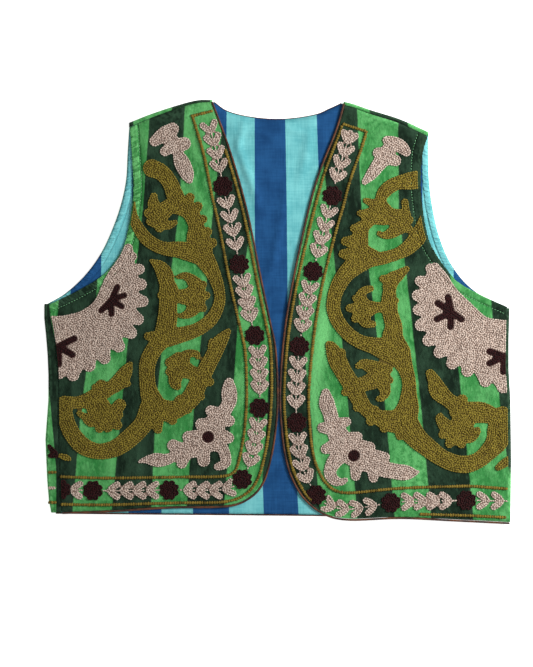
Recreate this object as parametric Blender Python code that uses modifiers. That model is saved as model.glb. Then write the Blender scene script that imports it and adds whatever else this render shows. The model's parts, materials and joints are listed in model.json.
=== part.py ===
"""An embroidered velvet waistcoat, lying flat on its back with the fronts nearly closed.

Lengths in the tables are millimetres and become metres when a mesh or curve is made.
X runs from the wearer's right to the wearer's left, Y from the hem to the neck, Z up.
The back lies on the ground with its lining over it, and the two fronts lie on the lining.
At the wearer's right side the back turns up and over to a seam on top; at the left side the
front turns down and under to a seam beneath. At the shoulders the back turns over to the seam.
"""
import math
from collections import namedtuple

import bmesh
import bpy
import numpy as np
from mathutils import Vector
from mathutils.geometry import delaunay_2d_cdt

MM = 0.001
# The garment's place: its bounding box is centred on X and Y by this shift
CENTRE_SHIFT = (-0.32, 0.82)

# Cloth
VELVET = 1.2
LINING = 1.0
SEAM_GAP = 0.3
PAD_GAP = 0.5
PIPING_RADIUS = 1.3
PIPING_MARGIN = 2 * PIPING_RADIUS + 0.6
EMBROIDERY = 1.0

BACK_MID = VELVET / 2
LINING_MID = VELVET + SEAM_GAP + LINING / 2
FRONT_MID = VELVET + SEAM_GAP + LINING + SEAM_GAP + VELVET / 2

# Folds
SIDE_RISE = 1.5
SIDE_RISE_REACH = 28.0
SHOULDER_RISE = 0.8
SHOULDER_RISE_REACH = 12.0
SIDE_TURN = 2.6
SHOULDER_TURN = 1.8
TURN_STEPS = 4

# The wearer's right side: where the back folds up, and the seam where it meets the front
SideRow = namedtuple("SideRow", "y fold seam")
RIGHT_SIDE = (
    SideRow(-239, -267, -255),
    SideRow(-222, -270, -256),
    SideRow(-199, -272, -257),
    SideRow(-151, -274, -258.5),
    SideRow(-104, -270.5, -258.5),
    SideRow(-75, -270.5, -259),
    SideRow(-51, -271.5, -261),
    SideRow(-27, -273.5, -264),
    SideRow(-8, -275.5, -268),
    SideRow(8, -275.5, -270),
)
# The wearer's left side: where the front folds down; its seam lies beneath, a turn's width in
LEFT_SIDE = (
    SideRow(-251, 275, 262),
    SideRow(-175, 276, 262),
    SideRow(-140, 275.5, 262),
    SideRow(-104, 275, 262),
    SideRow(-69, 273, 262),
    SideRow(-33, 273, 262),
    SideRow(4, 274, 262),
)

# Cut edges, as x, y. Each front edge runs from the neck, round the corner, to the hem's outer end
RIGHT_EDGE = ((-77, 250), (-55, 190), (-35, 120), (-18, 37), (-8, -10), (-1, -45), (1.5, -100),
              (-1, -140), (-7, -175), (-16, -203), (-32, -221), (-60, -231),
              (-127, -232.5), (-197, -237), (-255, -239))
LEFT_EDGE = ((78, 248), (68, 214), (45, 155), (27, 84), (9, -10), (2, -90), (4, -140),
             (9, -175), (17, -199), (31, -222), (54, -240),
             (84, -247), (145, -245), (210, -248), (275, -251))
HEM_CORNER = {"right": 11, "left": 10}
RIGHT_ARMHOLE = ((-269.5, 8), (-235, 25), (-207, 42), (-190, 61), (-179, 84), (-172, 117),
                 (-169, 150), (-171, 185), (-173, 217))
LEFT_ARMHOLE = ((274, 4), (239, 20), (210, 37), (190, 61), (176, 86), (169, 120), (166, 155),
                (168, 188), (173.5, 207))
BACK_RIGHT_ARMHOLE = ((-272, 9), (-246, 25), (-219, 53), (-201, 84), (-187, 120), (-179, 155),
                      (-177, 190), (-175, 221))
BACK_LEFT_ARMHOLE = ((261.5, 9), (239, 20), (212, 45), (194, 80), (184, 118), (179, 155),
                     (178, 190), (178, 210))
RIGHT_SHOULDER = ((-175, 223), (-150, 233), (-120, 243), (-95, 249.5), (-77, 250))
LEFT_SHOULDER = ((178, 212), (145, 227), (110, 238), (90, 245), (78, 248))
SHOULDER_SEAM = {"right": (5.5, 4.0), "left": (5.5, 4.2)}
NECK = ((-77, 250), (-58, 236), (-26, 228.5), (9, 227), (44, 232), (62, 239.5), (78, 248))
BACK_HEM = ((-264, -239), (-162, -240), (62, -242), (200, -245), (263, -247))

# The three lines that follow each front edge: how far in from the edge, by the way along it
BorderRow = namedtuple("BorderRow", "along outer garland inner")
RIGHT_BORDER = (
    BorderRow(0, 6, 12, 28),
    BorderRow(60, 6, 17, 32),
    BorderRow(110, 6, 22, 37),
    BorderRow(200, 6, 23, 38),
    BorderRow(290, 6.5, 22.5, 37),
    BorderRow(375, 9, 22.5, 38),
    BorderRow(466, 9, 25, 37),
    BorderRow(530, 6.5, 21, 37),
    BorderRow(590, 6.5, 22, 37),
    BorderRow(683, 10, 27, 42),
    BorderRow(740, 13, 31, 46),
)
LEFT_BORDER = (
    BorderRow(0, 6, 15, 34),
    BorderRow(50, 6, 19, 37),
    BorderRow(118, 8, 25, 40),
    BorderRow(214, 6.5, 22, 36),
    BorderRow(297, 6, 20.5, 36),
    BorderRow(390, 6, 19.5, 34.5),
    BorderRow(478, 6, 18, 33),
    BorderRow(505, 5, 15, 32),
    BorderRow(545, 5, 16, 33),
    BorderRow(600, 6, 20, 36),
    BorderRow(687, 8, 26, 43),
    BorderRow(760, 8, 28, 41),
)
# How far along the garland its flowers are, and where the leaves begin and end between two
FLOWER_AT = {
    "right": (101, 195, 281, 367, 454, 544, 634, 672),
    "left": (111, 203, 293, 383, 473, 567, 656),
}
FIRST_LEAF = -71
LEAVES_START = 20
LEAVES_END = -24
LEAVES_BETWEEN = 4
# Where the outer and the inner line start, by the way along the edge, and where they meet it
BorderStart = namedtuple("BorderStart", "meet outer inner")
BORDER_START = {"right": BorderStart(13, 60, 10), "left": BorderStart(26, 28, 27)}
FLOWER_RADIUS = 11.5
LINE_WIDTH = 3.6
STEM_RADIUS = 1.8

# Embroidery of the wearer's right front. A stroke is a run of x, y, radius, swept with round ends
SCROLL = (
    # hook at the shoulder, and the curled head under it
    ((-148, 169, 11), (-137, 164, 10), (-127, 152, 9.5), (-120, 135, 10.5), (-113, 123, 10.5)),
    ((-146, 136, 4.5), (-146, 126, 7.5), (-139, 116, 10.5), (-127, 124, 9.5), (-113, 124, 10.5)),
    ((-152, 116, 6), (-139, 110, 9.5)),
    ((-151, 106, 4.5), (-141, 104, 7), (-129, 102, 5.5), (-121, 105, 3.5)),
    ((-139, 99, 6), (-139, 106, 7)),
    # scalloped back of the head
    ((-113, 124, 10.5), (-103, 116, 9.5), (-96, 101, 9.5), (-94, 84, 13.5), (-89, 69, 13)),
    ((-106, 128, 7), (-103, 135, 5.5)),
    ((-101, 117, 8.5), (-94, 124, 6)),
    ((-95, 106, 7), (-88, 109, 5.5)),
    ((-91, 89, 7), (-83, 94, 6)),
    ((-89, 76, 9.5), (-77, 81, 6)),
    # tail from the armhole
    ((-170, 133, 2), (-170, 119, 4), (-168, 106, 6.5), (-155, 86, 8), (-136, 75, 8),
     (-117, 73, 10), (-101, 70, 12), (-89, 67, 13)),
    # stem round to the second leaf
    ((-89, 67, 13), (-76, 45, 9), (-69, 25, 7), (-69, 9, 7), (-78, -9, 8), (-94, -21, 8.5),
     (-112, -27, 9.5), (-129, -31, 11)),
    # second leaf and its two curls
    ((-149, 60, 2.5), (-139, 53, 7.5), (-133, 44, 10), (-130, 32, 9.5), (-128, 23, 12),
     (-129, 8, 11), (-130, -10, 12), (-134, -29, 12)),
    ((-133, 21, 8.5), (-137, 19, 5)),
    ((-153, -29, 5), (-141, -31, 9.5)),
    ((-117, 41, 3), (-109, 42, 5), (-101, 37, 7), (-95, 27, 10.5), (-103, 18, 10.5),
     (-117, 18, 8.5)),
    ((-95, 10, 10), (-101, 1, 7.5), (-108, -4, 5), (-115, -5, 3)),
    ((-93, 17, 9.5), (-84, 19, 5)),
    ((-95, 27, 9.5), (-88, 32, 5)),
    ((-95, 10, 9.5), (-88, 4, 5)),
    # stem to the third leaf
    ((-134, -31, 11), (-146, -45, 10), (-153, -60, 10), (-154, -76, 9.5), (-152, -93, 10.5),
     (-146, -110, 14)),
    # third leaf, its flame tip and its stepped underside
    ((-146, -113, 14), (-132, -117, 13), (-117, -112, 12.5), (-104, -100, 10), (-94, -86, 10.5),
     (-86, -71, 10), (-77, -54, 9.5), (-68, -36, 9), (-58, -23, 3.5)),
    ((-77, -40, 6), (-78, -35, 3.5)),
    ((-88, -78, 8.5), (-80, -83, 5.5)),
    ((-99, -95, 8.5), (-91, -100, 5.5)),
    ((-113, -107, 9.5), (-106, -115, 6)),
    ((-129, -121, 10.5), (-124, -128, 6)),
    ((-145, -122, 13), (-141, -139, 5.5)),
    # its inner curl
    ((-88, -68, 9.5), (-101, -67, 10.5), (-114, -64, 13)),
    ((-114, -60, 10.5), (-106, -50, 5.5), (-96, -50, 4.5), (-94, -54, 3)),
    ((-117, -57, 9.5), (-127, -60, 6)),
    ((-117, -64, 9.5), (-127, -71, 5.5)),
    ((-115, -71, 9.5), (-115, -83, 6.5), (-112, -87, 4)),
    # lower hook
    ((-150, -114, 13), (-158, -132, 11.5), (-173, -148, 11.5), (-191, -161, 10.5),
     (-211, -165, 9.5), (-230, -158, 10.5), (-244, -141, 10), (-250, -123, 9.5), (-251, -108, 9)),
    # fourth leaf and its curl
    ((-251, -108, 8.5), (-235, -107, 7.5), (-221, -104, 10), (-208, -96, 10), (-198, -91, 8.5),
     (-188, -84, 9.5), (-180, -73, 8.5), (-174, -62, 3.5)),
    ((-188, -84, 7), (-177, -85, 4.5)),
    ((-209, -90, 10.5), (-208, -87, 7)),
    ((-213, -110, 14), (-207, -121, 15.5)),
    ((-205, -121, 10.5), (-195, -117, 8.5), (-185, -111, 6)),
    ((-200, -121, 12), (-188, -122, 6)),
    ((-200, -126, 10.5), (-189, -134, 6)),
    ((-202, -128, 10.5), (-200, -137, 6)),
    ((-207, -128, 10.5), (-210, -138, 5.5)),
    ((-209, -123, 10.5), (-220, -130, 6.5), (-228, -124, 4.5), (-234, -120, 3.5)),
)
SPRIG = (
    ((-145, 201, 6.5), (-134, 209, 9), (-124, 215, 8)),
    ((-129, 206, 8.5), (-120, 196, 9.5), (-110, 198, 8)),
    ((-123, 195, 7.5), (-133, 189, 6)),
    ((-119, 189, 5), (-113, 176, 9.5), (-107, 163, 8.5), (-104, 155, 4.5)),
)
ROSETTE = (
    ((-176, 75, 5.5), (-180, 56, 12), (-185, 28, 22), (-198, -1, 23), (-221, -24, 27.5),
     (-252, -40, 35.5), (-280, -40, 35.5)),
    # lobes, from the armhole round to the side
    ((-180, 58, 9.5), (-171, 65, 5.5)),
    ((-181, 47, 13), (-163, 50, 6.5)),
    ((-183, 32, 15.5), (-161, 32, 7)),
    ((-186, 17, 16.5), (-159, 12, 7)),
    ((-192, 4, 19), (-165, -9, 7.5)),
    ((-200, -8, 20), (-173, -25, 7.5)),
    ((-209, -17, 22.5), (-187, -41, 7.5)),
    ((-219, -24, 25), (-204, -55, 7.5)),
    ((-231, -31, 27), (-222, -64, 7.5)),
    ((-242, -38, 28.5), (-241, -75, 7.5)),
    ((-257, -40, 28.5), (-257, -73, 7)),
    ((-271, -40, 19), (-272, -76, 6)),
)
SPRAY = (
    ((-57, -84, 6), (-57, -95, 9.5), (-57, -106, 9), (-62, -116, 8.5), (-75, -133, 13)),
    ((-70, -121, 8.5), (-79, -117, 6.5)),
    ((-77, -135, 10.5), (-90, -133, 7.5)),
    ((-89, -149, 10.5), (-105, -148, 7.5)),
    ((-103, -162, 9.5), (-114, -163, 9), (-123, -158, 7.5)),
    ((-67, -128, 8.5), (-57, -129, 7)),
    ((-73, -145, 10.5), (-58, -149, 7)),
    ((-75, -135, 13), (-77, -149, 14), (-94, -159, 12), (-109, -165, 9.5), (-122, -171, 6.5),
     (-133, -175, 7.5), (-143, -175, 8.5), (-155, -175, 4.5), (-163, -177, 2)),
    ((-75, -152, 13), (-66, -160, 7.5), (-62, -169, 7), (-61, -178, 6.5), (-67, -182, 5.5),
     (-71, -183, 4.5)),
    ((-89, -160, 9.5), (-87, -176, 7.5)),
    ((-110, -169, 9.5), (-113, -179, 6.5)),
)
SPRAY_EYE = (-82, -148, 7)

# Embroidery of the wearer's left front, worked freely to match the right's
LEFT_SCROLL = (
    # hook at the shoulder, and the curled head under it
    ((168, 156, 11), (156, 154, 10.5), (143, 152, 8.5), (134, 148, 8.5), (126, 141, 8),
     (122, 133, 7), (121, 124, 9.5)),
    ((121, 124, 9.5), (132, 113, 10), (145, 109, 12)),
    ((150, 129, 4.5), (151, 120, 5), (149, 110, 9.5)),
    ((148, 110, 9.5), (155, 108, 5.5)),
    ((146, 102, 9.5), (155, 97, 5)),
    ((145, 101, 10), (135, 93, 7), (126, 90, 4.5), (120, 92, 3.5)),
    ((121, 124, 9.5), (126, 119, 9.5)),
    ((100, 70, 10.5), (113, 64, 9.5)),
    ((112, 113, 10.5), (126, 110, 8.5)),
    # scalloped back of the head
    ((121, 124, 9.5), (113, 114, 10), (102, 100, 7.5), (97, 86, 10.5), (95, 69, 13), (95, 61, 13)),
    ((116, 126, 7), (104, 131, 3.5)),
    ((107, 114, 8.5), (97, 116, 4)),
    ((101, 100, 8.5), (90, 98, 5)),
    ((91, 82, 9.5), (80, 83, 5.5)),
    ((88, 67, 10.5), (77, 68, 5.5)),
    # tail from the armhole
    ((170, 113, 2), (169, 103, 5.5), (166, 89, 10), (155, 76, 9), (141, 68, 7.5), (124, 63, 8),
     (109, 61, 9.5), (95, 58, 13)),
    # stem round to the second leaf
    ((95, 58, 13), (81, 45, 10.5), (72, 31, 9.5), (67, 17, 8.5), (66, 3, 8.5), (71, -11, 8.5),
     (82, -25, 8.5), (96, -35, 8.5), (112, -40, 10), (127, -44, 13.5), (142, -49, 15.5)),
    # second leaf and its two curls
    ((152, 50, 4), (143, 43, 7), (134, 36, 9.5), (132, 24, 8), (132, 11, 10), (133, -2, 9.5),
     (137, -17, 10.5), (136, -32, 13), (141, -48, 16)),
    ((133, 36, 9.5), (124, 39, 4.5)),
    ((134, 14, 8.5), (139, 13, 4.5)),
    ((132, 5, 8.5), (119, 5, 6.5), (104, 3, 11)),
    ((100, 10, 9), (97, 19, 5.5), (103, 25, 5), (110, 27, 4)),
    ((97, 12, 7), (92, 16, 4.5)),
    ((94, 4, 7.5), (85, 4, 5)),
    ((97, -2, 9.5), (92, -8, 5.5)),
    ((101, -3, 10), (104, -13, 6.5), (113, -15, 4)),
    # stem to the third leaf
    ((142, -49, 15.5), (150, -65, 10), (155, -82, 8.5), (155, -97, 9.5), (154, -113, 13),
     (149, -128, 16.5)),
    # third leaf, its flame tip and its stepped underside
    ((149, -129, 16.5), (132, -127, 14), (116, -120, 11), (104, -110, 10.5), (95, -99, 11),
     (87, -86, 10.5), (77, -70, 10.5), (70, -56, 11), (64, -43, 7.5), (60, -38, 3.5)),
    ((86, -90, 8.5), (80, -95, 5)),
    ((97, -106, 9.5), (94, -113, 5.5)),
    ((113, -120, 9.5), (110, -129, 6)),
    ((129, -128, 12), (126, -137, 6)),
    ((146, -135, 14), (145, -146, 6)),
    # its inner curl
    ((89, -86, 9.5), (103, -82, 10.5), (119, -77, 13.5)),
    ((117, -70, 11), (109, -63, 6.5), (100, -61, 5.5), (95, -63, 4)),
    ((121, -69, 10.5), (131, -68, 5.5)),
    ((123, -78, 10.5), (132, -81, 5)),
    ((123, -86, 8.5), (124, -94, 6.5), (120, -101, 4.5), (117, -102, 3.5)),
    # lower hook
    ((149, -129, 16.5), (163, -148, 13), (178, -161, 11.5), (193, -172, 10.5), (209, -179, 10.5),
     (225, -180, 10.5), (239, -174, 10), (251, -163, 11), (259, -152, 13.5), (263, -136, 15),
     (265, -122, 10.5)),
    ((263, -134, 14), (272, -128, 10.5)),
    # fourth leaf and its curl
    ((266, -122, 10), (255, -123, 10), (241, -119, 12.5), (227, -119, 13), (214, -117, 12)),
    ((179, -72, 4), (184, -83, 6), (190, -95, 10), (202, -104, 7.5), (214, -113, 10.5)),
    ((214, -109, 9.5), (218, -104, 6.5)),
    ((226, -120, 13), (217, -133, 13.5), (212, -145, 13.5)),
    ((200, -137, 9.5), (192, -127, 6), (192, -123, 4)),
    ((202, -141, 9.5), (195, -145, 5.5)),
    ((207, -149, 10.5), (203, -156, 5.5)),
    ((217, -150, 9.5), (217, -157, 5)),
    ((219, -145, 10.5), (228, -148, 7), (234, -142, 5.5), (236, -139, 3.5)),
    ((260, -184, 4), (267, -179, 5.5), (277, -173, 6)),
)
LEFT_SPRIG = (
    ((129, 202, 5.5), (137, 199, 8), (146, 194, 8), (152, 188, 5.5)),
    ((132, 194, 7.5), (126, 183, 10), (119, 173, 8.5), (111, 162, 7), (103, 153, 4)),
    ((124, 186, 8.5), (119, 187, 7)),
    ((129, 182, 9), (139, 178, 7)),
)
LEFT_ROSETTE = (
    ((185, 51, 7), (188, 35, 15), (193, 14, 22.5), (209, -12, 29.5), (232, -36, 33),
     (263, -45, 35.5), (279, -45, 35.5)),
    # lobes, from the armhole round to the side
    ((187, 44, 9.5), (180, 51, 6)),
    ((185, 30, 14), (168, 36, 6.5)),
    ((187, 16, 20), (165, 19, 7)),
    ((192, 4, 22.5), (166, 2, 7)),
    ((199, -8, 23.5), (169, -16, 7.5)),
    ((206, -17, 25), (178, -34, 7.5)),
    ((215, -27, 27), (191, -48, 7.5)),
    ((225, -34, 28.5), (206, -61, 7.5)),
    ((234, -38, 30.5), (224, -70, 7.5)),
    ((246, -42, 32), (245, -82, 7.5)),
    ((260, -45, 30.5), (266, -88, 8.5)),
)
LEFT_SPRAY = (
    ((57, -96, 5.5), (58, -108, 9.5), (62, -120, 9), (65, -130, 9.5), (71, -145, 12),
     (82, -161, 15.5), (97, -175, 12), (114, -182, 9.5), (128, -187, 9.5)),
    ((127, -186, 9.5), (141, -189, 9.5), (152, -190, 9), (161, -190, 4.5), (166, -189, 2)),
    ((69, -134, 9.5), (81, -130, 6)),
    ((62, -137, 9.5), (53, -137, 6.5)),
    ((68, -159, 10.5), (57, -162, 6.5)),
    ((82, -152, 10.5), (94, -148, 6.5)),
    ((95, -160, 10.5), (109, -160, 6.5)),
    ((112, -171, 9.5), (126, -172, 6.5)),
    ((112, -180, 8.5), (113, -196, 6)),
    ((93, -180, 8.5), (92, -194, 6)),
    ((74, -169, 10.5), (65, -180, 8.5), (62, -191, 7.5), (67, -199, 6.5), (75, -201, 4.5),
     (80, -199, 3.5)),
)
LEFT_SPRAY_EYE = (90, -170, 7)

# Stars set into the rosette: middle, ends of the arms, and the arms' half width
Star = namedtuple("Star", "middle arms radius")
UPPER_STAR = Star((-196, 14), ((-189, 29), (-181, 19), (-184, 6), (-196, -3), (-208, 1)), 3.5)
SEAM_STAR = Star((-258, -41), ((-240, -32), (-242, -51), (-258, -62)), 4.0)
LEFT_UPPER_STAR = Star((205, -1), ((201, 17), (189, 10), (188, -9), (204, -18), (217, -9)), 4.0)
LEFT_SEAM_STAR = Star((267, -53), ((250, -47), (250, -61), (266, -71), (274, -49)), 4.0)

Needlework = namedtuple("Needlework", "scroll sprig rosette spray eye upper_star seam_star")
NEEDLEWORK = {
    "right": Needlework(SCROLL, SPRIG, ROSETTE, SPRAY, SPRAY_EYE, UPPER_STAR, SEAM_STAR),
    "left": Needlework(LEFT_SCROLL, LEFT_SPRIG, LEFT_ROSETTE, LEFT_SPRAY, LEFT_SPRAY_EYE,
                       LEFT_UPPER_STAR, LEFT_SEAM_STAR),
}

# Detail of the embroidery's outlines
TRACE_STEP = 2.5
TRACE_TOLERANCE = 0.9
INLAY_GAP = 1.8
EDGE_MARGIN = 1.0
RISE_MESH_STEP = 12.0

COLOURS = {
    "velvet": (0.035, 0.14, 0.055),
    "lining": (0.02, 0.16, 0.32),
    "piping": (0.07, 0.022, 0.01),
    "olive": (0.13, 0.085, 0.012),
    "pink": (0.42, 0.33, 0.29),
    "dark": (0.014, 0.005, 0.006),
}


# ---- curves in the plane ----

def smooth(points, steps=6):
    """A Catmull-Rom curve through the points, with this many steps between each two."""
    p = np.array(points, float)
    p = np.vstack([2 * p[0] - p[1], p, 2 * p[-1] - p[-2]])
    rows = []
    for i in range(1, len(p) - 2):
        a, b, c, d = p[i - 1:i + 3]
        for t in np.arange(steps) / steps:
            rows.append(0.5 * (2 * b + (c - a) * t + (2 * a - 5 * b + 4 * c - d) * t * t
                               + (3 * b - 3 * c + d - a) * t ** 3))
    return np.vstack([rows, p[-2]])


def lengths(curve):
    """Distance along the curve at each of its points."""
    return np.concatenate([[0], np.cumsum(np.hypot(*np.diff(curve[:, :2], axis=0).T))])


def resample(curve, stations):
    """Points of the curve at fractions 0 to 1 of its length."""
    along = lengths(curve)
    wanted = np.asarray(stations) * along[-1]
    return np.column_stack([np.interp(wanted, along, column) for column in curve.T])


def from_distance(curve, distance):
    """The rest of the curve after a distance along it."""
    along = lengths(curve)
    first = [np.interp(distance, along, column) for column in curve.T]
    return np.vstack([first, curve[along > distance + 1]])


def left_normals(curve):
    """Unit normals on the curve's left hand."""
    d = np.gradient(curve, axis=0)
    d = d / np.hypot(d[:, 0], d[:, 1])[:, None]
    return np.column_stack([-d[:, 1], d[:, 0]])


def offset(curve, distance):
    """The curve moved to its left by a distance, which may change along it."""
    return curve + left_normals(curve) * np.reshape(distance, (-1, 1))


# ---- the garment's edges and heights ----

def side_fold(side, y):
    rows = RIGHT_SIDE if side == "right" else LEFT_SIDE
    return np.interp(y, [r.y for r in rows], [r.fold for r in rows])


def side_seam(side, y):
    rows = RIGHT_SIDE if side == "right" else LEFT_SIDE
    return np.interp(y, [r.y for r in rows], [r.seam for r in rows])


def shoulder_curve(side):
    """The shoulder's fold from the arm to the neck."""
    return smooth(RIGHT_SHOULDER if side == "right" else LEFT_SHOULDER)


def shoulder_fold(side, x):
    curve = shoulder_curve(side)
    order = np.argsort(curve[:, 0])
    return np.interp(x, curve[order, 0], curve[order, 1])


def shoulder_wedge(side, fraction):
    """How far the back turns over the shoulder, from the arm (0) to the neck (1)."""
    arm, neck = SHOULDER_SEAM[side]
    return arm + (neck - arm) * fraction


def rise(side, x, y):
    """How much a front stands above its flat height, over the folds."""
    below_arm = np.clip((30 - y) / 40, 0, 1)
    below_arm = below_arm * below_arm * (3 - 2 * below_arm)
    side_part = SIDE_RISE * below_arm * np.exp(-((x - side_fold(side, y)) / SIDE_RISE_REACH) ** 2)
    down = (shoulder_fold(side, x) - y) / SHOULDER_RISE_REACH
    return side_part + SHOULDER_RISE * np.exp(-down ** 2)


def front_mid(side, x, y):
    return FRONT_MID + rise(side, x, y)


def edge_curve(side):
    """The outer line of a front's piping, from the neck to the hem's outer end."""
    return smooth(RIGHT_EDGE if side == "right" else LEFT_EDGE)


def inward(side):
    """+1 where the garment is on the left hand of edge_curve."""
    return -1 if side == "right" else 1


# ---- panels ----

def patch(outer, inner, bottom, top):
    """Points of a four-sided patch: outer and inner run up, bottom and top run across."""
    v = np.linspace(0, 1, len(outer))[:, None, None]
    u = (lengths(bottom) / lengths(bottom)[-1])[None, :, None]
    ruled = (1 - u) * outer[:, None] + u * inner[:, None]
    across = (1 - v) * bottom[None] + v * top[None]
    corners = ((1 - u) * (1 - v) * bottom[0] + u * (1 - v) * bottom[-1]
               + (1 - u) * v * top[0] + u * v * top[-1])
    return ruled + across - corners


def turn(start, end, out, z_start, z_end, depth):
    """A half turn of cloth: start and end are x, y; out points to the fold, depth away."""
    rows = []
    for angle in np.linspace(-math.pi / 2, math.pi / 2, TURN_STEPS + 1)[1:]:
        reach = start + out * depth * math.cos(angle)
        height = (z_start + z_end) / 2 + (z_end - z_start) / 2 * math.sin(angle)
        rows.append((*reach, height))
    rows.append((*end, z_end))
    return rows


def grid_faces(bm, verts):
    for row, above in zip(verts[:-1], verts[1:]):
        for a, b, c, d in zip(row[:-1], row[1:], above[1:], above[:-1]):
            bm.faces.new((a, b, c, d))


def merge_flat(bm):
    """Join the faces of a sheet that lie in one plane."""
    bmesh.ops.recalc_face_normals(bm, faces=bm.faces)
    bmesh.ops.dissolve_limit(bm, angle_limit=math.radians(0.5), verts=bm.verts, edges=bm.edges)


def place(point):
    x, y, z = point
    return Vector((x + CENTRE_SHIFT[0], y + CENTRE_SHIFT[1], z)) * MM


def add_object(name, mesh, colour, roughness=0.9):
    material = bpy.data.materials.new(name)
    material.use_nodes = True
    shader = material.node_tree.nodes["Principled BSDF"]
    shader.inputs["Base Color"].default_value = (*COLOURS[colour], 1)
    shader.inputs["Roughness"].default_value = roughness
    mesh.materials.append(material)
    obj = bpy.data.objects.new(name, mesh)
    garment.objects.link(obj)
    return obj


def add_wall(name, bm, thickness, colour, side=0.0):
    """Give a sheet its thickness; side 0 thickens both ways, 1 along the faces' normals."""
    bmesh.ops.recalc_face_normals(bm, faces=bm.faces)
    if sum(face.normal.z * face.calc_area() for face in bm.faces) < 0:
        bmesh.ops.reverse_faces(bm, faces=bm.faces)
    mesh = bpy.data.meshes.new(name)
    bm.to_mesh(mesh)
    bm.free()
    obj = add_object(name, mesh, colour)
    wall = obj.modifiers.new("wall", "SOLIDIFY")
    wall.thickness = thickness * MM
    wall.offset = side
    return obj


# Where the lattices' lines run: closer together near the folds and the front corner
FRONT_COLUMNS = np.array([0, 0.03, 0.07, 0.12, 0.18, 0.27, 0.4, 0.55, 0.7, 0.84, 0.94, 1])
CORNER_CROWDING = 1.35
SHOULDER_COLUMNS = np.linspace(0, 1, 6)
NECK_COLUMNS = np.linspace(0, 1, 14)
SIDE_STEPS = 9
ARMHOLE_STEPS = 10


def side_and_armhole(side_x, hem_y, armhole):
    """The outer edge of a panel from the hem to the shoulder, with a point at the underarm."""
    arm = resample(smooth(armhole), np.linspace(0, 1, ARMHOLE_STEPS + 1))
    y = np.linspace(hem_y, arm[0, 1], SIDE_STEPS + 1)
    body = np.column_stack([[side_x(v) for v in y], y])
    body[-1] = arm[0]
    return np.vstack([body, arm[1:]])


def front_lattice(side):
    """The front's x, y lattice: rows from the hem up, columns from the side to the edge."""
    margin = PIPING_MARGIN
    raw = RIGHT_EDGE if side == "right" else LEFT_EDGE
    curve = offset(edge_curve(side), inward(side) * margin)
    corner = HEM_CORNER[side] * 6
    edge = curve[:corner + 1][::-1]
    hem = curve[corner:][::-1]
    armhole = RIGHT_ARMHOLE if side == "right" else LEFT_ARMHOLE
    if side == "right":
        outer_x = lambda y: side_seam(side, y) + SEAM_GAP
    else:
        outer_x = lambda y: side_fold(side, y) - SIDE_TURN - VELVET / 2
    outer = side_and_armhole(outer_x, raw[-1][1] + margin, armhole)
    if side == "left":
        outer[SIDE_STEPS, 0] -= SIDE_TURN + VELVET / 2
    fold = resample(resample(shoulder_curve(side), SHOULDER_COLUMNS), FRONT_COLUMNS)
    wedge = shoulder_wedge(side, FRONT_COLUMNS) + 2 * SEAM_GAP
    top = fold - np.column_stack([np.zeros(len(wedge)), wedge])
    hem[0] = outer[0]
    top[0] = outer[-1]
    rows = SIDE_STEPS + ARMHOLE_STEPS
    seam = SHOULDER_SEAM[side][1] + 4 * SEAM_GAP
    climb = np.linspace(0, 1, rows + 1) ** CORNER_CROWDING
    inner = resample(edge, climb * (1 - seam / lengths(edge)[-1]))
    top[-1] = inner[-1]
    bottom = resample(hem, FRONT_COLUMNS)
    return patch(outer, inner, bottom, top)


def add_front(side):
    lattice = front_lattice(side)
    bm = bmesh.new()
    verts = []
    for row in lattice:
        heights = front_mid(side, row[:, 0], row[:, 1])
        verts.append([bm.verts.new(place((*p, z))) for p, z in zip(row, heights)])
    grid_faces(bm, verts)
    if side == "left":
        strips = []
        for row, line in zip(lattice[:SIDE_STEPS + 1], verts):
            start = row[0]
            end = np.array([side_seam(side, start[1]), start[1]])
            top = front_mid(side, start[0], start[1])
            points = turn(start, end, np.array([1.0, 0.0]), top, BACK_MID, SIDE_TURN)
            strips.append([line[0]] + [bm.verts.new(place(p)) for p in points])
        grid_faces(bm, strips)
    add_wall(f"front_{side}_velvet", bm, VELVET, "velvet")
    return lattice


def back_lattice(inset):
    """The back's x, y lattice; inset 0 is the velvet, more is the lining within its turns."""
    turned = SIDE_TURN + VELVET / 2 + inset
    margin = PIPING_MARGIN + inset * 0.2
    edge_in = inset * 0.2
    hem_curve = smooth(BACK_HEM)
    hem_y = hem_curve[0, 1] + margin
    right_arm = smooth(BACK_RIGHT_ARMHOLE)
    left_arm = smooth(BACK_LEFT_ARMHOLE)
    right = side_and_armhole(lambda y: side_fold("right", y) + turned, hem_y,
                             offset(right_arm, -edge_in)[::5])
    left = side_and_armhole(lambda y: side_seam("left", y) - SEAM_GAP - inset,
                            hem_curve[-1, 1] + margin, offset(left_arm, edge_in)[::5])
    right[SIDE_STEPS] += (inset * 0.6, 0)
    down = SHOULDER_TURN + VELVET / 2 + inset * 0.8
    right_top = resample(shoulder_curve("right"), SHOULDER_COLUMNS) - (0, down)
    left_top = resample(shoulder_curve("left"), SHOULDER_COLUMNS)[::-1] - (0, down)
    neck = resample(offset(smooth(NECK), -margin), NECK_COLUMNS)
    right_top[-1, 1] = neck[0, 1] = min(right_top[-1, 1], neck[0, 1])
    left_top[0, 1] = neck[-1, 1] = min(left_top[0, 1], neck[-1, 1])
    top = np.vstack([right_top, neck[1:-1], left_top])
    right[-1] = top[0]
    left[-1] = top[-1]
    bottom = resample(hem_curve, lengths(top) / lengths(top)[-1]) + (0, margin)
    bottom[0] = right[0]
    bottom[-1] = left[0]
    return patch(right, left, bottom, top)


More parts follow.
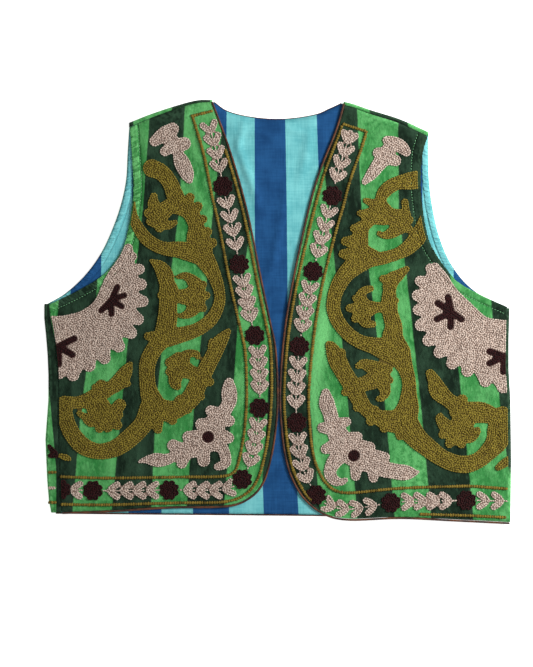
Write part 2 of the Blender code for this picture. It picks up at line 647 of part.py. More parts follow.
def add_back_velvet():
    lattice = back_lattice(0)
    bm = bmesh.new()
    verts = [[bm.verts.new(place((*p, BACK_MID))) for p in row] for row in lattice]
    grid_faces(bm, verts)
    strips = []
    for row, line in zip(lattice[:SIDE_STEPS + 1], verts):
        start = row[0]
        end = np.array([side_seam("right", start[1]), start[1]])
        top = front_mid("right", *end)
        points = turn(start, end, np.array([-1.0, 0.0]), BACK_MID, top, SIDE_TURN)
        strips.append([line[0]] + [bm.verts.new(place(p)) for p in points])
    grid_faces(bm, strips)
    count = len(lattice[0])
    for side, columns in (("right", range(0, 6)), ("left", range(count - 6, count))):
        strips = []
        for i, column in enumerate(columns):
            fraction = i / 5 if side == "right" else 1 - i / 5
            start = lattice[-1][column]
            drop = shoulder_wedge(side, fraction) - SHOULDER_TURN - VELVET / 2
            end = start - np.array([0, drop])
            top = front_mid(side, *end)
            points = turn(start, end, np.array([0.0, 1.0]), BACK_MID, top, SHOULDER_TURN)
            strips.append([verts[-1][column]] + [bm.verts.new(place(p)) for p in points])
        grid_faces(bm, strips)
    merge_flat(bm)
    add_wall("back_velvet", bm, VELVET, "velvet")


def add_back_lining():
    bm = bmesh.new()
    verts = [[bm.verts.new(place((*p, LINING_MID))) for p in row] for row in back_lattice(3.0)]
    grid_faces(bm, verts)
    merge_flat(bm)
    add_wall("back_lining", bm, LINING, "lining")


def add_piping(name, centres):
    data = bpy.data.curves.new(name, "CURVE")
    data.dimensions = "3D"
    data.bevel_depth = PIPING_RADIUS * MM
    data.bevel_resolution = 1
    data.use_fill_caps = True
    spline = data.splines.new("POLY")
    spline.points.add(len(centres) - 1)
    for target, centre in zip(spline.points, centres):
        target.co = (*place(centre), 1)
    add_object(name, data, "piping", 0.7)


def add_front_piping(side):
    curve = offset(edge_curve(side), inward(side) * PIPING_RADIUS)
    points = resample(curve, np.linspace(0.011, 0.995, 42))
    z = front_mid(side, points[:, 0], points[:, 1]) + PIPING_RADIUS - VELVET / 2
    add_piping(f"piping_front_{side}", np.column_stack([points, z]))


def add_back_piping(name, table, start, end, count, hand):
    curve = offset(smooth(table), hand * PIPING_RADIUS)
    points = resample(curve, np.linspace(start, end, count))
    z = np.full(len(points), PIPING_RADIUS + 0.05)
    add_piping(name, np.column_stack([points, z]))


# ---- embroidery ----

def stroke_field(x, y, stroke):
    """Distance from a stroke's outline, negative within it."""
    rows = smooth(stroke, 4) if len(stroke) > 2 else np.array(stroke, float)
    field = np.full(np.shape(x), 1e3)
    for a, b in zip(rows[:-1], rows[1:]):
        d = b[:2] - a[:2]
        t = np.clip(((x - a[0]) * d[0] + (y - a[1]) * d[1]) / (d @ d + 1e-9), 0, 1)
        gap = np.hypot(x - a[0] - t * d[0], y - a[1] - t * d[1]) - a[2] - t * (b[2] - a[2])
        field = np.minimum(field, gap)
    return field


def strokes_field(strokes):
    return lambda x, y: np.min([stroke_field(x, y, s) for s in strokes], axis=0)


def star_strokes(star):
    return [((*star.middle, star.radius), (*arm, star.radius)) for arm in star.arms]


def flower_strokes(point):
    """A round flower: a disc with eight petals round it."""
    x, y = point
    r = FLOWER_RADIUS
    strokes = [((x - 0.1, y, r * 0.78), (x + 0.1, y, r * 0.78))]
    for k in range(8):
        a = math.tau * (k + 0.5) / 8
        tip = (x + r * 0.7 * math.cos(a), y + r * 0.7 * math.sin(a), r * 0.32)
        strokes.append(((x, y, r * 0.3), tip))
    return strokes


# Half of a pair of leaves: how far ahead, how far out, and half width
LEAF = ((7.4, 0, 1.3), (1.4, 3.7, 3.6), (-5.0, 7.6, 3.7))


def leaf_pair_strokes(point, ahead):
    """Two leaves in a V that points ahead along the garland."""
    across = np.array([-ahead[1], ahead[0]])
    strokes = []
    for hand in (-1, 1):
        stroke = []
        for forth, out, radius in LEAF:
            stroke.append((*(point + ahead * forth + across * out * hand), radius))
        strokes.append(stroke)
    return strokes


def border_line(side, column):
    """A line that follows the front edge, as far in as the border's table says."""
    rows = RIGHT_BORDER if side == "right" else LEFT_BORDER
    curve = edge_curve(side)
    along = lengths(curve)
    inset = np.interp(along, [r.along for r in rows], [getattr(r, column) for r in rows])
    return offset(curve, inward(side) * inset)


def leaf_distances(side):
    """How far along the garland each pair of leaves is."""
    flowers = FLOWER_AT[side]
    ends = [(flowers[0] + FIRST_LEAF, flowers[0] + LEAVES_END)]
    ends += [(a + LEAVES_START, b + LEAVES_END) for a, b in zip(flowers[:6], flowers[1:7])]
    ends.append((flowers[6] + LEAVES_START, flowers[6] + LEAVES_START + 51))
    return np.concatenate([np.linspace(*pair, LEAVES_BETWEEN) for pair in ends])


def garland(side):
    """Strokes of the garland: flowers, pairs of leaves between them, and a stem through all."""
    line = border_line(side, "garland")
    along = lengths(line)

    def at(distance):
        here = np.array([np.interp(distance, along, c) for c in line.T])
        there = np.array([np.interp(distance + 1, along, c) for c in line.T])
        return here, there - here

    strokes = [s for m in FLOWER_AT[side] for s in flower_strokes(at(m)[0])]
    for distance in leaf_distances(side):
        if distance < along[-1] - 2:
            strokes += leaf_pair_strokes(*at(distance))
    stem = resample(from_distance(line, leaf_distances(side)[0]), np.linspace(0, 1, 60))
    strokes += [((*a, STEM_RADIUS), (*b, STEM_RADIUS)) for a, b in zip(stem[:-1], stem[1:])]
    return strokes


def outline_of(lattice):
    """The closed outline of a panel's lattice."""
    back_down = [lattice[-1][::-1][1:], lattice[:, 0][::-1][1:-1]]
    return np.vstack([lattice[0], lattice[1:, -1], *back_down])


def outline_field(outline):
    """Distance from a closed outline, negative within it."""
    after = np.roll(outline, -1, axis=0)

    def field(x, y):
        near = np.full(np.shape(x), 1e3)
        inside = np.zeros(np.shape(x), bool)
        for a, b in zip(outline, after):
            d = b - a
            t = np.clip(((x - a[0]) * d[0] + (y - a[1]) * d[1]) / (d @ d + 1e-12), 0, 1)
            near = np.minimum(near, np.hypot(x - a[0] - t * d[0], y - a[1] - t * d[1]))
            crosses = (a[1] > y) != (b[1] > y)
            inside ^= crosses & (x < a[0] + (y - a[1]) * d[0] / (d[1] if d[1] else 1))
        return np.where(inside, -near, near)
    return field


def trace(field, box):
    """Closed loops where the field is zero, within x0, y0, x1, y1."""
    x0, y0, x1, y1 = box
    xs = np.arange(x0, x1 + TRACE_STEP, TRACE_STEP)
    ys = np.arange(y0, y1 + TRACE_STEP, TRACE_STEP)
    values = field(*np.meshgrid(xs, ys))
    values[np.abs(values) < 1e-4] = 1e-4
    links = {}
    for j, i in np.argwhere(np.abs(values[:-1, :-1]) < 2 * TRACE_STEP):
        sides = (("x", j, i), ("y", j, i + 1), ("x", j + 1, i), ("y", j, i))
        ends = ((j, i, j, i + 1), (j, i + 1, j + 1, i + 1),
                (j + 1, i, j + 1, i + 1), (j, i, j + 1, i))
        cut = [s for s, (a, b, c, d) in zip(sides, ends) if values[a, b] * values[c, d] < 0]
        if len(cut) == 4 and values[j, i] * values[j:j + 2, i:i + 2].mean() > 0:
            cut = [cut[0], cut[1], cut[2], cut[3]]
        elif len(cut) == 4:
            cut = [cut[1], cut[2], cut[3], cut[0]]
        for a, b in zip(cut[::2], cut[1::2]):
            links.setdefault(a, []).append(b)
            links.setdefault(b, []).append(a)

    def crossing(key):
        kind, j, i = key
        a = values[j, i]
        b = values[j, i + 1] if kind == "x" else values[j + 1, i]
        t = a / (a - b) * TRACE_STEP
        return (xs[i] + t, ys[j]) if kind == "x" else (xs[i], ys[j] + t)

    loops = []
    while links:
        start = key = next(iter(links))
        loop = []
        while key in links:
            loop.append(crossing(key))
            followers = links.pop(key)
            key = next((k for k in followers if k in links), start)
        if len(loop) > 3:
            loops.append(np.array(loop))
    return loops


def thin_out(points, tolerance):
    """Drop points of an open run that lie within tolerance of the line through the rest."""
    a, b = points[0], points[-1]
    d = b - a
    size = np.hypot(*d)
    if len(points) < 3:
        return points
    away = np.abs((points[:, 0] - a[0]) * d[1] - (points[:, 1] - a[1]) * d[0]) / max(size, 1e-9)
    far = int(away.argmax())
    if away[far] < tolerance:
        return np.array([a, b])
    first = thin_out(points[:far + 1], tolerance)
    return np.vstack([first[:-1], thin_out(points[far:], tolerance)])


def simple_loop(loop):
    half = int(np.hypot(*(loop - loop[0]).T).argmax())
    first = thin_out(loop[:half + 1], TRACE_TOLERANCE)
    second = thin_out(np.vstack([loop[half:], loop[:1]]), TRACE_TOLERANCE)
    return np.vstack([first[:-1], second[:-1]])


def area(loop):
    x, y = loop.T
    return abs(np.dot(x, np.roll(y, -1)) - np.dot(y, np.roll(x, -1))) / 2


def within(loops, x, y):
    """True where a point is inside an odd number of the loops."""
    inside = np.zeros(np.shape(x), bool)
    for loop in loops:
        inside ^= outline_field(loop)(x, y) < 0
    return inside


def add_pad(name, side, field, box, colour):
    """Raised embroidery: the traced shape laid on the front's surface and thickened."""
    loops = [simple_loop(l) for l in trace(field, box) if area(l) > 6]
    biggest = max(loops, key=area)
    loops = [biggest] + [l for l in loops if l is not biggest
                         and outline_field(biggest)(*l[0]) < 0]
    points = [p for loop in loops for p in loop]
    edges = []
    start = 0
    for loop in loops:
        count = len(loop)
        edges += [(start + k, start + (k + 1) % count) for k in range(count)]
        start += count
    xs, ys = np.meshgrid(np.arange(box[0], box[2], RISE_MESH_STEP),
                         np.arange(box[1], box[3], RISE_MESH_STEP))
    inner = np.column_stack([xs.ravel(), ys.ravel()])
    keep = (field(inner[:, 0], inner[:, 1]) < -3) & (rise(side, inner[:, 0], inner[:, 1]) > 0.05)
    points += list(inner[keep])
    flat, _, faces, *_ = delaunay_2d_cdt([Vector(p) for p in points], edges, [], 0, 1e-5)
    flat = np.array([tuple(p) for p in flat])
    faces = [f for f in faces if within(loops, *flat[list(f)].mean(axis=0))]
    top = front_mid(side, flat[:, 0], flat[:, 1]) + VELVET / 2 + PAD_GAP
    bm = bmesh.new()
    used = sorted({i for f in faces for i in f})
    verts = {i: bm.verts.new(place((*flat[i], top[i]))) for i in used}
    for f in faces:
        bm.faces.new([verts[i] for i in f])
    add_wall(name, bm, EMBROIDERY, colour, side=1.0)


def both(first, *others):
    """The field inside the first and outside each of the others, with a gap round them."""
    return lambda x, y: np.maximum.reduce([first(x, y)] + [INLAY_GAP - f(x, y) for f in others])


def clipped(field, panel):
    return lambda x, y: np.maximum(field(x, y), panel(x, y) + EDGE_MARGIN)


def add_embroidery(side, lattice):
    work = NEEDLEWORK[side]
    panel = outline_field(outline_of(lattice))
    low = lattice.reshape(-1, 2).min(axis=0) - 4
    high = lattice.reshape(-1, 2).max(axis=0) + 4
    box = (*low, *high)
    garland_field = strokes_field(garland(side))
    start = BORDER_START[side]
    outer_path = from_distance(border_line(side, "outer"), start.outer)
    meeting = from_distance(border_line(side, "outer"), start.meet)[0]
    inner_path = np.vstack([meeting, from_distance(border_line(side, "inner"), start.inner)])

    def line_field(path):
        centre = resample(path, np.linspace(0, 1, 70))
        return strokes_field([((*a, LINE_WIDTH / 2), (*b, LINE_WIDTH / 2))
                              for a, b in zip(centre[:-1], centre[1:])])

    inner_field = line_field(inner_path)
    outer_field = line_field(outer_path)
    scroll = both(strokes_field(work.scroll), inner_field)
    upper_star = strokes_field(star_strokes(work.upper_star))
    seam_star = strokes_field(star_strokes(work.seam_star))
    eye = strokes_field([(work.eye, (work.eye[0] + 0.1, *work.eye[1:]))])
    rosette = both(strokes_field(work.rosette), scroll, upper_star, seam_star)
    spray = both(strokes_field(work.spray), eye, scroll, inner_field)
    pads = (
        ("scroll", scroll, "olive"),
        ("sprig", strokes_field(work.sprig), "pink"),
        ("rosette", rosette, "pink"),
        ("upper_star", upper_star, "dark"),
        ("seam_star", seam_star, "dark"),
        ("spray", spray, "pink"),
        ("spray_eye", eye, "dark"),
        ("garland", both(garland_field, inner_field, outer_field), "pink"),
        ("inner_line", inner_field, "olive"),
        ("outer_line", both(outer_field, inner_field), "olive"),
    )
    for name, field, colour in pads:
        add_pad(f"{name}_{side}", side, clipped(field, panel), box, colour)


for old in list(bpy.data.objects):
    bpy.data.objects.remove(old)
garment = bpy.data.collections.new("embroidered_waistcoat")
bpy.context.scene.collection.children.link(garment)

add_back_velvet()
add_back_lining()
add_back_piping("piping_neck", NECK, 0.06, 0.94, 22, -1)
add_back_piping("piping_hem", BACK_HEM, 0.01, 0.985, 14, 1)
for hand in ("right", "left"):
    front = add_front(hand)
    add_front_piping(hand)
    add_embroidery(hand, front)
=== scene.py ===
# %% [markdown]
# # An embroidered velvet waistcoat, laid flat
#
# The real one is cut from cotton velvet with wide leaf-green and bottle-green stripes, lined with
# striped cotton, edged with a brown bias piping, and covered with chain stitch worked with a hook.
# It lies on its back with the fronts nearly closed, so the cloth can be built as sheets that lie
# on each other. The frame below is the plain solid model; every sheet here follows its solid.
# Lengths in the tables are millimetres. X runs to the wearer's left, Y to the neck, Z up.

# %% Load the frame and keep its size
import json
import math
from collections import namedtuple

import bmesh
import bpy
import numpy as np
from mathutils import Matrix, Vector
from mathutils.kdtree import KDTree

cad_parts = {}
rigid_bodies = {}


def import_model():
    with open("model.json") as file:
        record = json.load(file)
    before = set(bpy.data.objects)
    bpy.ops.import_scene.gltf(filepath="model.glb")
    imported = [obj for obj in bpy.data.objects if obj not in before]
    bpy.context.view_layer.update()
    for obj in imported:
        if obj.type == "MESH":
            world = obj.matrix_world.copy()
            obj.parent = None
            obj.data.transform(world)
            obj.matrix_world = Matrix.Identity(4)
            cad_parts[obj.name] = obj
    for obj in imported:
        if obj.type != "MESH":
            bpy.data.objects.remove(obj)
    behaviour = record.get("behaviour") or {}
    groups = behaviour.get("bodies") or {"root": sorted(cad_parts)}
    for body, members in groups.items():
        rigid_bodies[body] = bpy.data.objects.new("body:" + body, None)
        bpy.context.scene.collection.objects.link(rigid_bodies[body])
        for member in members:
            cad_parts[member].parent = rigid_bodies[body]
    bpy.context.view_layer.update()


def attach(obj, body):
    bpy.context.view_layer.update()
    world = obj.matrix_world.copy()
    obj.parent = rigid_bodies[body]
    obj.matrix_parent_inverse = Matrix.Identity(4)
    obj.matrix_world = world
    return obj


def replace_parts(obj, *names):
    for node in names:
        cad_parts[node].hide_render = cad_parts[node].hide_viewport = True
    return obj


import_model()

# %% [markdown]
# ## The sizes of the garment
#
# A pattern cutter would draw these curves on paper: the front edges, the armholes, the shoulders
# and the side folds. Each is a short run of points that a smooth curve passes through, so that
# changing one point moves the whole cloth with it. The heights stack up cloth by cloth.

# %% Cloth thicknesses and edges
MM = 0.001
SIDES = ("right", "left")
# From the middle of the tables to the middle of the solid model
CENTRE_SHIFT = (-0.32, 0.82)

# The thickness of each cloth, the room between two, and the radius of each piping
VELVET = 1.2
LINING = 1.0
SEAM_GAP = 0.3
FRONT_PIPING = 1.2
FRONT_MARGIN = 2 * FRONT_PIPING + SEAM_GAP
HEM_PIPING = 0.9
NECK_PIPING = 0.55
BACK_GAP = 0.05

# The height of the middle of each cloth
BACK_MID = VELVET / 2
LINING_MID = VELVET + SEAM_GAP + LINING / 2
FRONT_MID = VELVET + SEAM_GAP + LINING + SEAM_GAP + VELVET / 2

# How much the fronts stand up at the side and the shoulder, and how far in from the fold
SIDE_RISE = 1.5
SIDE_RISE_REACH = 28.0
SIDE_RISE_FADES = (30, -10)
SHOULDER_RISE = 0.8
SHOULDER_RISE_REACH = 12.0
# How far out the cloth bulges where it turns
SIDE_TURN = 2.6
SHOULDER_TURN = 1.8
print("middle of the back, the lining and the fronts, mm:", BACK_MID, LINING_MID, FRONT_MID)


# %% The side folds
def named(kind, rows):
    """Rows of plain numbers, with a name for each column."""
    return [kind(*row) for row in rows]


# Where each side folds, and its seam. On the wearer's right the back folds up and meets the
# front on top; on the left the front folds down, and its seam lies beneath
SideRow = namedtuple("SideRow", "y fold seam")
SIDE = {
    "right": named(SideRow, (
        (-239, -267, -255), (-222, -270, -256), (-199, -272, -257), (-151, -274, -258.5),
        (-104, -270.5, -258.5), (-75, -270.5, -259), (-51, -271.5, -261), (-27, -273.5, -264),
        (-8, -275.5, -268), (8, -275.5, -270),
    )),
    "left": named(SideRow, (
        (-251, 275, 262), (-175, 276, 262), (-140, 275.5, 262), (-104, 275, 262),
        (-69, 273, 262), (-33, 273, 262), (4, 274, 262),
    )),
}
widest = max(row.fold for row in SIDE["left"]) - min(row.fold for row in SIDE["right"])
print("widest, from fold to fold, mm:", widest)

# %% The cut edges
# As x, y. Each front edge runs from the neck, round the corner, to the hem's outer end
EDGE = {
    "right": ((-77, 250), (-55, 190), (-35, 120), (-18, 37), (-8, -10), (-1, -45), (1.5, -100),
              (-1, -140), (-7, -175), (-16, -203), (-32, -221), (-60, -231),
              (-127, -232.5), (-197, -237), (-255, -239)),
    "left": ((78, 248), (68, 214), (45, 155), (27, 84), (9, -10), (2, -90), (4, -140),
             (9, -175), (17, -199), (31, -222), (54, -240),
             (84, -247), (145, -245), (210, -248), (275, -251)),
}
# Which point of each front edge is the one that its hem starts from
HEM_CORNER = {"right": 11, "left": 10}
ARMHOLE = {
    "right": ((-269.5, 8), (-235, 25), (-207, 42), (-190, 61), (-179, 84), (-172, 117),
              (-169, 150), (-171, 185), (-173, 217)),
    "left": ((274, 4), (239, 20), (210, 37), (190, 61), (176, 86), (169, 120), (166, 155),
             (168, 188), (173.5, 207)),
}
BACK_ARMHOLE = {
    "right": ((-272, 9), (-246, 25), (-219, 53), (-201, 84), (-187, 120), (-179, 155),
              (-177, 190), (-175, 221)),
    "left": ((261.5, 9), (239, 20), (212, 45), (194, 80), (184, 118), (179, 155),
             (178, 190), (178, 210)),
}
SHOULDER = {
    "right": ((-175, 223), (-150, 233), (-120, 243), (-95, 249.5), (-77, 250)),
    "left": ((178, 212), (145, 227), (110, 238), (90, 245), (78, 248)),
}
# How far the back turns over each shoulder, at the arm and at the neck
SHOULDER_SEAM = {"right": (5.5, 2.6), "left": (5.5, 4.2)}
NECK = ((-77, 250), (-58, 237), (-26, 229.7), (9, 228.2), (44, 233.2), (62, 240.5), (78, 248))
BACK_HEM = ((-264, -239), (-162, -240), (62, -242), (200, -245), (263, -247))
print("points of each front's edge:", {side: len(EDGE[side]) for side in SIDES})

# %% The border of each front
# The three lines that follow each front edge: how far in from the edge, by the way along it
BorderRow = namedtuple("BorderRow", "along outer garland inner")
BORDER = {
    "right": named(BorderRow, (
        (0, 6, 12, 28), (60, 6, 17, 32), (110, 6, 22, 37), (200, 6, 23, 38),
        (290, 6.5, 22.5, 37), (375, 9, 22.5, 38), (466, 9, 25, 37), (530, 6.5, 21, 37),
        (590, 6.5, 22, 37), (683, 10, 27, 42), (740, 13, 31, 46),
    )),
    "left": named(BorderRow, (
        (0, 6, 15, 34), (50, 6, 19, 37), (118, 8, 25, 40), (214, 6.5, 22, 36),
        (297, 6, 20.5, 36), (390, 6, 19.5, 34.5), (478, 6, 16.5, 33), (505, 5, 13, 32),
        (545, 5, 13.5, 33), (600, 6, 20, 36), (687, 8, 26, 43), (760, 8, 28, 41),
    )),
}
# How far along the garland its flowers are, and where the leaves begin and end between two
FLOWER_AT = {
    "right": (101, 195, 281, 367, 454, 544, 634, 672),
    "left": (111, 203, 293, 383, 473, 567, 656),
}
# Leaves lie before, between and after the first seven flowers. Distances from a flower along the
# garland, and how many pairs of leaves lie between two
LEAFED_FLOWERS = 7
FIRST_LEAF = -71
LEAVES_START = 20
LEAVES_END = -24
LAST_LEAVES = 51
LEAVES_BETWEEN = 4
# Where the outer and the inner line start, by the way along the edge, and where they meet it
BorderStart = namedtuple("BorderStart", "meet inset outer inner")
BORDER_START = {"right": BorderStart(13, 1.5, 60, 10), "left": BorderStart(26, 6, 28, 27)}
print("flowers along each garland:", {side: len(FLOWER_AT[side]) for side in SIDES})

# %% [markdown]
# ## The embroidered motifs
#
# The needlework is the old suzani kind: a long curling scroll with four leaves, a half rosette
# that runs over the side seam, a spray in the corner and a sprig at the shoulder. Each motif is
# swept from strokes, a run of x, y and half width, the way an embroiderer chalks a shape from
# round brush marks before filling it. Both fronts carry the same needlework, drawn afresh by hand,
# so no two leaves are quite alike.

# %% The right front's scroll
SCROLL = (
    # hook at the shoulder, and the curled head under it
    ((-148, 169, 11), (-137, 164, 10), (-127, 152, 9.5), (-120, 135, 10.5), (-113, 123, 10.5)),
    ((-146, 136, 4.5), (-146, 126, 7.5), (-139, 116, 10.5), (-127, 124, 9.5), (-113, 124, 10.5)),
    ((-152, 116, 6), (-139, 110, 9.5)),
    ((-151, 106, 4.5), (-141, 104, 7), (-129, 102, 5.5), (-121, 105, 3.5)),
    ((-139, 99, 6), (-139, 106, 7)),
    # scalloped back of the head
    ((-113, 124, 10.5), (-103, 116, 9.5), (-96, 101, 9.5), (-94, 84, 13.5), (-89, 69, 13)),
    ((-106, 128, 7), (-103, 135, 5.5)),
    ((-101, 117, 8.5), (-94, 124, 6)),
    ((-95, 106, 7), (-88, 109, 5.5)),
    ((-91, 89, 7), (-83, 94, 6)),
    ((-89, 76, 9.5), (-77, 81, 6)),
    # tail from the armhole
    ((-170, 133, 2), (-170, 119, 4), (-168, 106, 6.5), (-155, 86, 8), (-136, 75, 8),
     (-117, 73, 10), (-101, 70, 12), (-89, 67, 13)),
    # stem round to the second leaf
    ((-89, 67, 13), (-76, 45, 9), (-69, 25, 7), (-69, 9, 7), (-78, -9, 8), (-94, -21, 8.5),
     (-112, -27, 9.5), (-129, -31, 11)),
    # second leaf and its two curls
    ((-149, 60, 2.5), (-139, 53, 7.5), (-133, 44, 10), (-130, 32, 9.5), (-128, 23, 12),
     (-129, 8, 11), (-130, -10, 12), (-134, -29, 12)),
    ((-133, 21, 8.5), (-137, 19, 5)),
    ((-153, -29, 5), (-141, -31, 9.5)),
    ((-117, 41, 3), (-109, 42, 5), (-101, 37, 7), (-95, 27, 10.5), (-103, 18, 10.5),
     (-117, 18, 8.5)),
    ((-95, 10, 10), (-101, 1, 7.5), (-108, -4, 5), (-115, -5, 3)),
    ((-93, 17, 9.5), (-84, 19, 5)),
    ((-95, 27, 9.5), (-88, 32, 5)),
    ((-95, 10, 9.5), (-88, 4, 5)),
    # stem to the third leaf
    ((-134, -31, 11), (-146, -45, 10), (-153, -60, 10), (-154, -76, 9.5), (-152, -93, 10.5),
     (-146, -110, 14)),
    # third leaf, its flame tip and its stepped underside
    ((-146, -113, 14), (-132, -117, 13), (-117, -114.5, 11), (-102, -102, 11.5), (-94, -86, 11),
     (-86, -71, 10), (-77, -54, 9.5), (-68, -36, 9), (-58, -23, 3.5)),
    ((-77, -40, 6), (-78, -35, 3.5)),
    ((-88, -78, 8.5), (-80, -83, 5.5)),
    ((-99, -95, 8.5), (-91, -100, 5.5)),
    ((-113, -107, 9.5), (-106, -115, 6)),
    ((-129, -121, 10.5), (-124, -128, 6)),
    ((-145, -122, 13), (-141, -139, 5.5)),
    # its inner curl
    ((-88, -74, 8.5), (-101, -72, 8.5), (-114, -66, 12)),
    ((-114, -60, 10.5), (-106, -50, 5.5), (-96, -50, 4.5), (-94, -54, 3)),
    ((-117, -57, 9.5), (-127, -60, 6)),
    ((-117, -64, 9.5), (-127, -71, 5.5)),
    ((-119, -71, 10), (-121, -83, 7.5), (-118, -88, 5)),
    # lower hook
    ((-150, -114, 13), (-158, -132, 11.5), (-173, -148, 11.5), (-191, -161, 10.5),
     (-211, -165, 9.5), (-230, -158, 10.5), (-244, -141, 10), (-250, -123, 9.5), (-251, -108, 9)),
    # fourth leaf and its curl
    ((-251, -108, 8.5), (-235, -107, 7.5), (-221, -104, 10), (-208, -96, 10), (-198, -91, 8.5),
     (-188, -84, 9.5), (-180, -73, 8.5), (-174, -62, 3.5)),
    ((-188, -84, 7), (-177, -85, 4.5)),
    ((-209, -90, 10.5), (-208, -87, 7)),
    ((-213, -110, 14), (-207, -121, 15.5)),
    ((-205, -123, 10.5), (-195, -121, 8), (-186, -110, 7.5)),
    ((-200, -121, 12), (-188, -122, 6)),
    ((-200, -126, 10.5), (-189, -134, 6)),
    ((-202, -128, 10.5), (-200, -137, 6)),
    ((-207, -128, 10.5), (-210, -138, 5.5)),
    ((-209, -123, 10.5), (-220, -130, 6.5), (-228, -124, 4.5), (-234, -120, 3.5)),
)
print("right scroll:", len(SCROLL), "strokes")

# %% The right front's sprig, rosette and spray
SPRIG = (
    ((-145, 201, 6.5), (-134, 209, 9), (-124, 215, 8)),
    ((-129, 206, 8.5), (-120, 196, 9.5), (-110, 198, 8)),
    ((-123, 195, 7.5), (-133, 189, 6)),
    ((-119, 189, 5), (-113, 176, 9.5), (-107, 163, 8.5), (-104, 155, 4.5)),
)
ROSETTE = (
    ((-176, 75, 5.5), (-180, 56, 12), (-185, 28, 22), (-198, -1, 23), (-221, -24, 27.5),
     (-252, -40, 35.5), (-280, -40, 35.5)),
    # lobes, from the armhole round to the side
    ((-180, 58, 9.5), (-171, 65, 5.5)),
    ((-181, 47, 13), (-163, 50, 6.5)),
    ((-183, 32, 15.5), (-161, 32, 7)),
    ((-186, 17, 16.5), (-159, 12, 7)),
    ((-192, 4, 19), (-165, -9, 7.5)),
    ((-200, -8, 20), (-173, -25, 7.5)),
    ((-209, -17, 22.5), (-187, -41, 7.5)),
    ((-219, -24, 25), (-204, -55, 7.5)),
    ((-231, -31, 27), (-222, -64, 7.5)),
    ((-242, -38, 28.5), (-241, -75, 7.5)),
    ((-257, -40, 28.5), (-257, -73, 7)),
    ((-271, -40, 19), (-272, -76, 6)),
)
SPRAY = (
    ((-57, -84, 6), (-57, -95, 9.5), (-57, -106, 9), (-62, -116, 8.5), (-75, -133, 13)),
    ((-70, -121, 8.5), (-79, -117, 6.5)),
    ((-77, -135, 10.5), (-90, -133, 7.5)),
    ((-89, -149, 10.5), (-105, -148, 7.5)),
    ((-103, -162, 9.5), (-114, -163, 9), (-123, -158, 7.5)),
    ((-67, -128, 8.5), (-57, -129, 7)),
    ((-73, -145, 10.5), (-58, -149, 7)),
    ((-75, -135, 13), (-77, -149, 14), (-94, -159, 12), (-109, -165, 9.5), (-122, -171, 6.5),
     (-133, -175, 7.5), (-143, -175, 8.5), (-155, -175, 4.5), (-163, -177, 2)),
    ((-75, -152, 13), (-66, -160, 7.5), (-62, -169, 7), (-61, -178, 6.5), (-67, -182, 5.5),
     (-71, -183, 4.5)),
    ((-89, -160, 9.5), (-87, -176, 7.5)),
    ((-110, -169, 9.5), (-113, -179, 6.5)),
)
SPRAY_EYE = (-82, -148, 7)
print("right sprig, rosette and spray:", len(SPRIG), len(ROSETTE), len(SPRAY), "strokes")

# %% [markdown]
# The left front repeats the right one freely, as hand work does, so it is drawn anew and not
# mirrored.

